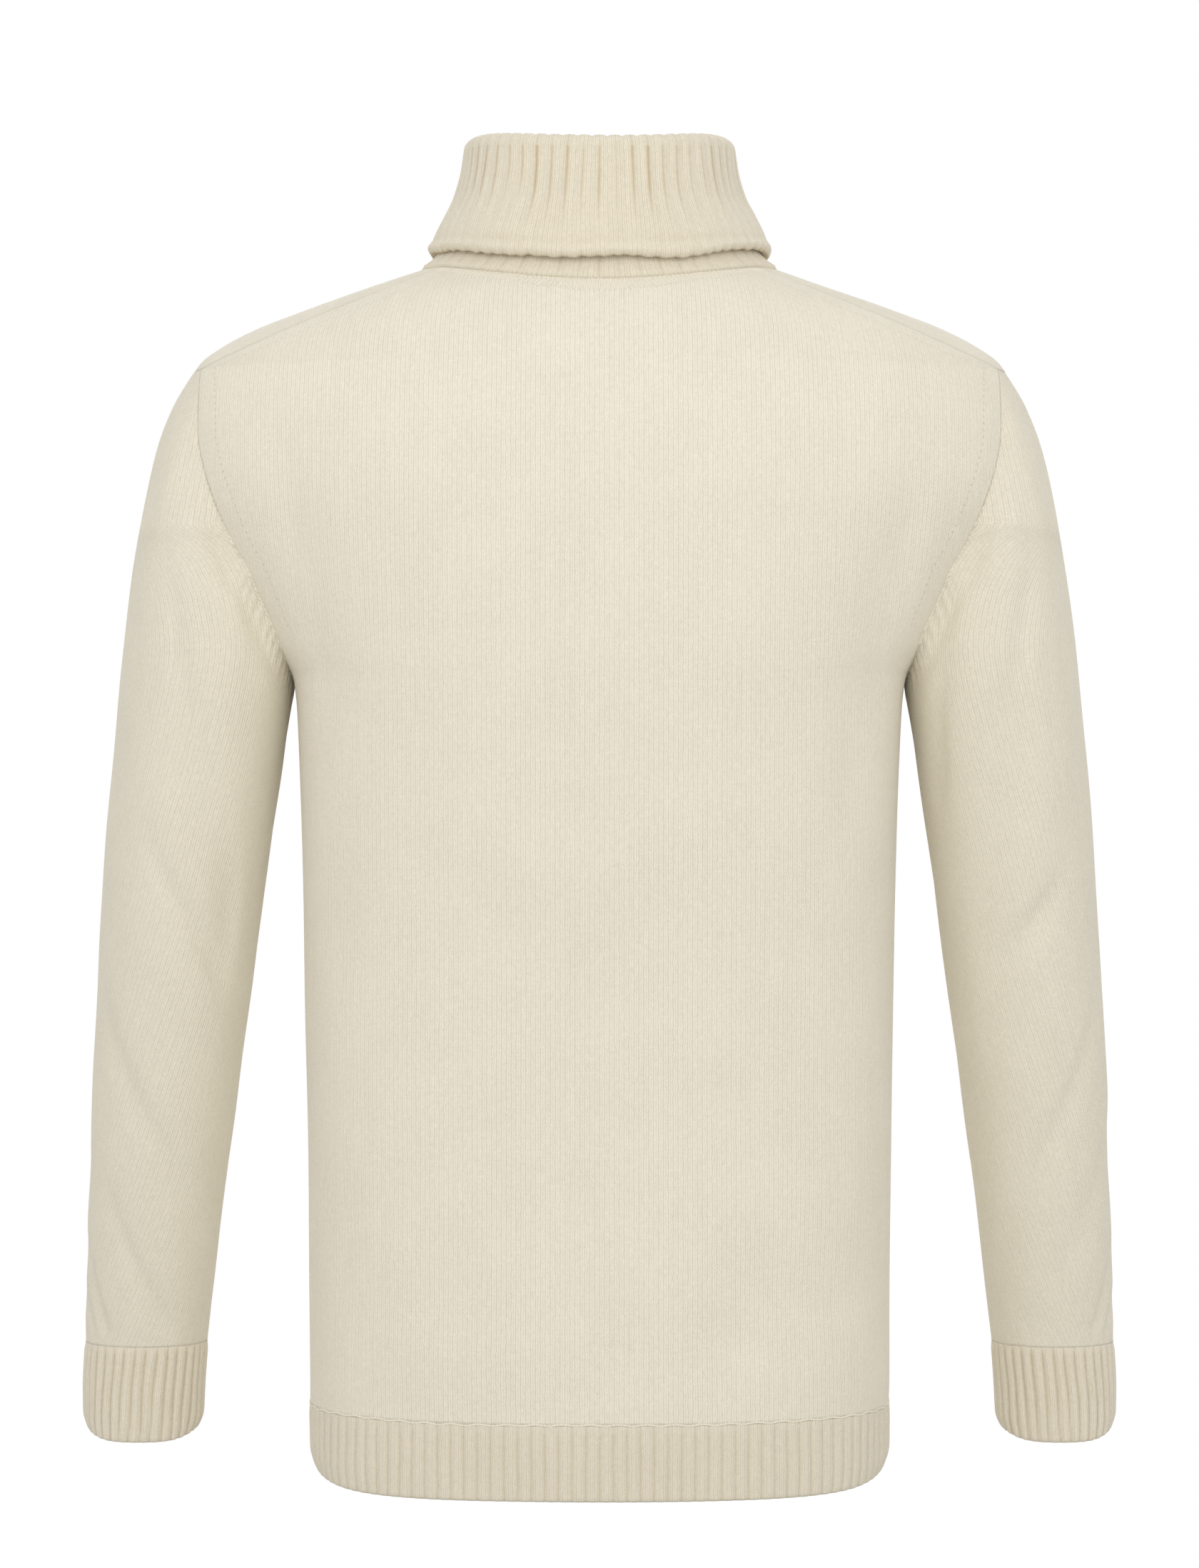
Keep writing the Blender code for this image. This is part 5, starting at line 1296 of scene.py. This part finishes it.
def metal_look(name, tint, roughness):
    """Plated zinc: even metal with a fine satin grain in its roughness and height."""
    made, tree, shader = new_look(name, {"Metallic": 1.0})
    grain = noise(tree, object_place(tree), 900.0, 3.0)
    cloud = noise(tree, object_place(tree), 160.0, 2.0)
    shade = blend_colours(tree, cloud, (*[0.86 * value for value in tint], 1.0), (*tint, 1.0))
    tree.links.new(shade, shader["Base Color"])
    tree.links.new(calc(tree, "MULTIPLY_ADD", grain, 0.25, roughness), shader["Roughness"])
    add_bump(tree, shader, grain, 0.12, 0.1 * MM)
    return made


nickel = metal_look("satin nickel", (0.72, 0.71, 0.685), 0.24)


def teeth_points(start, first, last):
    """Teeth of the left tape, [tooth, ring, corner, xyz], from one length to another: squares
    across each tooth, at its own place on the tape's edge."""
    at = np.arange(first + start, last, TOOTH_PITCH)
    centre = read_along(at, tape_way, (tape_near[:, 0] + tape_far[:, 0]) / 2)
    over = unit(read_along(at, tape_way, unit(tape_near[:, 1] - tape_near[:, 0])))
    out = unit(read_along(at, tape_way, unit(tape_far[:, 0] - tape_near[:, 0])))
    along = unit(np.cross(over, out))
    corners = np.array([(-1, -1), (1, -1), (1, 1), (-1, 1)])
    return (centre[:, None, None] + over[:, None, None] * TOOTH[None, :, None, 0:1]
            + along[:, None, None] * TOOTH[None, :, None, 1:2] * corners[None, None, :, 0:1]
            + out[:, None, None] * TOOTH[None, :, None, 2:3] * corners[None, None, :, 1:2])


edge_heights = tape_near[:, 0, 2]
tooth_first = np.interp(STOP_TOP, edge_heights[:100], tape_way[:100])
tooth_last = tape_way[-1] - LAST_BEFORE_EDGE
last_ring = 4 * (len(TOOTH) - 1) + np.arange(4)
for (side, mirror), start in zip(MIRRORS.items(), (FIRST_TOOTH, FIRST_TOOTH + TOOTH_PITCH / 2)):
    points = teeth_points(start, tooth_first, tooth_last) * mirror
    teeth = repeated(f"zip_teeth_{side}", points, np.array([[3, 2, 1, 0], last_ring]), nickel, smooth=False)
    fasten(teeth, "zip_metal")


# ---------------------------------------------------------------- slider, pull tab and stop
# Cast slider: two plates joined by a wedge at its mouth, with a bridge on the face. The pull
# tab hangs from the bridge, and a pressed stop holds both tapes at the foot of the slit.
SLIDER_HEIGHT, SLIDER_FACE = -6.0 * MM, -83.4 * MM
SLIDER_HALF_WIDTH, SLIDER_HALF_LENGTH = 3.5 * MM, 4.5 * MM
BRIDGE_HALF_WIDTH, BRIDGE_HALF_LENGTH = 0.9 * MM, 3.7 * MM
BRIDGE_THICKNESS, BRIDGE_CLEARANCE = 0.9 * MM, 2.6 * MM
BRIDGE_KNEE = 1.6 * MM
PULL_PIVOT = np.array((0.0, -84.9, -7.5)) * MM
PULL_HALF_THICKNESS, PULL_BEVEL = 0.6 * MM, 0.3 * MM
CORNER_STEPS = 4


def rounded_outline(low_x, high_x, low_z, high_z, low_round, high_round, count=8):
    """Rectangle whose corners are quarter circles, anticlockwise, as pairs (x, z)."""
    quarter = np.linspace(0, math.pi / 2, count)
    runs = []
    for x, z, radius, start in ((high_x, high_z, high_round, 0), (low_x, high_z, high_round, 1),
                                (low_x, low_z, low_round, 2), (high_x, low_z, low_round, 3)):
        turn = quarter + start * math.pi / 2
        centre_x = x - radius if x == high_x else x + radius
        centre_z = z - radius if z == high_z else z + radius
        runs.append(np.stack([centre_x + radius * np.cos(turn), centre_z + radius * np.sin(turn)], axis=1))
    return np.concatenate(runs)


def slab(outline, near, far, bevel):
    """Points [ring, point, xyz] of a flat piece between two depths, its edges rounded by rings
    that draw in towards its middle."""
    inward = unit(outline.mean(axis=0) - outline)
    quarter = np.linspace(0, math.pi / 2, CORNER_STEPS)
    inset = bevel * (1 - np.sin(quarter))
    depth = bevel * (1 - np.cos(quarter))
    rings = [(outline + inward * i, near + d) for i, d in zip(inset, depth)]
    rings += [(outline + inward * i, far - d) for i, d in zip(inset[::-1], depth[::-1])]
    return np.array([np.insert(points, 1, y, axis=1) for points, y in rings])


def swept_bar(path, half_width, half_thickness):
    """Points [ring, point, xyz] of a bar along a path (y, z), its section an oval across x:
    cosine and sine, each to the power 0.6 so that its corners fill out."""
    lead = unit(np.gradient(path, axis=0))
    square = np.stack([-lead[:, 1], lead[:, 0]], axis=1)
    turn = np.arange(12) / 12 * 2 * math.pi
    x = half_width * np.sign(np.cos(turn)) * np.abs(np.cos(turn)) ** 0.6
    off = half_thickness * np.sign(np.sin(turn)) * np.abs(np.sin(turn)) ** 0.6
    points = path[:, None] + square[:, None] * off[None, :, None]
    return np.insert(points, 0, x, axis=-1)


def solid_of(name, grids, closed_rings=False):
    """One nickel mesh of several closed forms, each a grid of rings, either with its ends
    capped or joined end to end. A ring of rings looks inwards where its volume is negative."""
    points, faces, start = [], [], 0
    for grid in grids:
        rings, around = grid.shape[:2]
        shape = grid.reshape(-1, 3)
        quads = ring_quads(rings, around, closed_rings)
        polygons = quads.tolist()
        if closed_rings:
            a, b, c, d = np.moveaxis(shape[quads], 1, 0)
            inwards = np.sum(np.cross(a, b) * c + np.cross(a, c) * d) < 0
        else:
            polygons += [list(range(around))[::-1], list(range(len(shape) - around, len(shape)))]
            inwards = looks_inwards(shape, quads[0])
        faces += [[start + k for k in (polygon[::-1] if inwards else polygon)] for polygon in polygons]
        points.append(shape)
        start += len(shape)
    mesh = bpy.data.meshes.new(name)
    mesh.from_pydata(np.concatenate(points).tolist(), [], faces)
    mesh.shade_smooth()
    mesh.set_sharp_from_angle(angle=math.radians(50))
    mesh.materials.append(nickel)
    return add_object(name, mesh)


low_z, high_z = SLIDER_HEIGHT - SLIDER_HALF_LENGTH, SLIDER_HEIGHT + SLIDER_HALF_LENGTH
plate = rounded_outline(-SLIDER_HALF_WIDTH, SLIDER_HALF_WIDTH, low_z, high_z, 1.2 * MM, 2.2 * MM)
plate[:, 0] *= 0.86 + 0.14 * fade(plate[:, 1] - low_z, 0, 6)
flange = rounded_outline(2.3 * MM, 3.1 * MM, low_z + 0.5 * MM, SLIDER_HEIGHT + 0.5 * MM,
                         0.3 * MM, 0.3 * MM, 4)
wedge = rounded_outline(-0.9 * MM, 0.9 * MM, SLIDER_HEIGHT + 1.2 * MM, high_z - 0.3 * MM,
                        0.5 * MM, 0.5 * MM, 5)
bridge_face = SLIDER_FACE - BRIDGE_CLEARANCE - BRIDGE_THICKNESS / 2
bridge_end = BRIDGE_HALF_LENGTH - BRIDGE_THICKNESS / 2
turn = np.linspace(0, math.pi / 2, 7)
upper = np.stack([bridge_face + BRIDGE_KNEE - BRIDGE_KNEE * np.sin(turn),
                  bridge_end - BRIDGE_KNEE + BRIDGE_KNEE * np.cos(turn)], axis=1)
foot = np.array([(SLIDER_FACE + 0.6 * MM, bridge_end)])
arch = np.concatenate([foot, upper, upper[::-1] * (1, -1), foot * (1, -1)]) + (0, SLIDER_HEIGHT)
inner_face, inner_end = SLIDER_FACE + 0.9 * MM, SLIDER_FACE + 5.2 * MM
slider = solid_of("zip_slider_cast", [
    slab(plate, SLIDER_FACE, SLIDER_FACE + 1.2 * MM, 0.45 * MM),
    slab(plate, SLIDER_FACE + 5.0 * MM, SLIDER_FACE + 6.0 * MM, 0.4 * MM),
    *[slab(outline, inner_face, inner_end, 0.1 * MM) for outline in (flange, flange * (-1, 1), wedge)],
    swept_bar(arch, BRIDGE_HALF_WIDTH, BRIDGE_THICKNESS / 2)])
fasten(slider, "zip_metal", "zip_slider")

pull_rim = rounded_outline(-2.5 * MM, 2.5 * MM, -23.0 * MM, 0.6 * MM, 2.3 * MM, 1.1 * MM, 12)
pull_rim[:, 0] *= 0.84 + 0.16 * fade(-pull_rim[:, 1], 5, 9)
pull_hole = rounded_outline(-1.35 * MM, 1.35 * MM, -4.6 * MM, -0.6 * MM, 1.0 * MM, 0.6 * MM, 12)
to_hole = unit(pull_hole - pull_rim)
quarter = np.linspace(0, math.pi / 2, CORNER_STEPS)
lip = []
for outline, inward, face, turns in (
        (pull_rim, to_hole, -1, quarter), (pull_rim, to_hole, 1, quarter[::-1]),
        (pull_hole, -to_hole, 1, quarter), (pull_hole, -to_hole, -1, quarter[::-1])):
    for a in turns:
        depth = face * (PULL_HALF_THICKNESS - PULL_BEVEL * (1 - math.cos(a)))
        lip.append(np.insert(outline + inward * PULL_BEVEL * (1 - math.sin(a)), 1, depth, axis=1))
pull = solid_of("zip_pull_plate", [np.array(lip) + PULL_PIVOT], closed_rings=True)
fasten(pull, "zip_metal", "zip_pull", body="pull_tab")

stop_low, stop_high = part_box("zip_bottom_stop")
outline = rounded_outline(stop_low[0], stop_high[0], stop_low[2], stop_high[2], 0.9 * MM, 0.9 * MM)
stop = solid_of("zip_bottom_stop_pressed", [slab(outline, stop_low[1], stop_high[1], 0.5 * MM)])
fasten(stop, "zip_metal", "zip_bottom_stop")


# ---------------------------------------------------------------- camera, light and floor
# The garment hangs in its worn shape over a plain pale floor, seen from straight behind at
# chest height. Two wide soft boxes, high behind the camera and high in front of the garment,
# and an even pale room light it softly.
CAMERA_DISTANCE, CAMERA_HEIGHT = 2.5, -289.9 * MM
LENS, SENSOR_WIDTH = 100.4, 36.0
LIGHT_DISTANCE, LIGHT_HEIGHT, LIGHT_AIM = 2.15, 0.6, -0.2
LIGHT_SIZE, LIGHT_TINT, ROOM_LIGHT = (3.8, 1.5), (1.0, 0.985, 0.955), 0.78
FLOOR_HEIGHT, FLOOR_HALF_WIDTH = -0.80, 3.3
WHITE = (1.0, 1.0, 1.0, 1.0)

camera = add_object("camera", bpy.data.cameras.new("camera"))
camera.data.lens = LENS
camera.data.sensor_width = SENSOR_WIDTH
camera.data.sensor_fit = "AUTO"
camera.location = (0.0, CAMERA_DISTANCE, CAMERA_HEIGHT)
camera.rotation_euler = (math.pi / 2, 0.0, math.pi)
bpy.context.scene.camera = camera

for light_name, distance, power in (("high soft box", LIGHT_DISTANCE, 26.0),
                                    ("front soft box", -LIGHT_DISTANCE, 25.5)):
    light = add_object(light_name, bpy.data.lights.new(light_name, "AREA"))
    light.data.shape = "RECTANGLE"
    light.data.size, light.data.size_y = LIGHT_SIZE
    light.data.energy = power
    light.data.color = LIGHT_TINT
    light.location = (0.0, distance, LIGHT_HEIGHT)
    aim = Vector((0.0, 0.0, LIGHT_AIM)) - light.location
    light.rotation_euler = aim.to_track_quat("-Z", "Y").to_euler()


def shown_apart(tree, working, seen, end):
    """Lets the camera's own rays see one shader while all other rays work with another."""
    choose = tree.nodes.new("ShaderNodeMixShader")
    tree.links.new(tree.nodes.new("ShaderNodeLightPath").outputs["Is Camera Ray"], choose.inputs[0])
    tree.links.new(working.outputs[0], choose.inputs[1])
    tree.links.new(seen.outputs[0], choose.inputs[2])
    tree.links.new(choose.outputs[0], end.inputs["Surface"])


world = bpy.data.worlds.new("pale room")
world.use_nodes = True
room = world.node_tree
ambient, seen = room.nodes["Background"], room.nodes.new("ShaderNodeBackground")
ambient.inputs["Strength"].default_value = ROOM_LIGHT
for background in (ambient, seen):
    background.inputs["Color"].default_value = WHITE
shown_apart(room, ambient, seen, room.nodes["World Output"])
bpy.context.scene.world = world

corners = [(-1, -1), (1, -1), (1, 1), (-1, 1)]
floor_mesh = bpy.data.meshes.new("floor")
floor_mesh.from_pydata([(x * FLOOR_HALF_WIDTH, y * FLOOR_HALF_WIDTH, FLOOR_HEIGHT) for x, y in corners],
                       [], [(0, 1, 2, 3)])
pale, cover, _ = new_look("pale floor", {
    "Base Color": (0.62, 0.61, 0.59, 1.0), "Roughness": 1.0, "Specular IOR Level": 0.0})
shown_apart(cover, cover.nodes["Principled BSDF"], cover.nodes.new("ShaderNodeEmission"),
            cover.nodes["Material Output"])
floor_mesh.materials.append(pale)
add_object("floor", floor_mesh)
bpy.context.scene.view_settings.view_transform = "Standard"
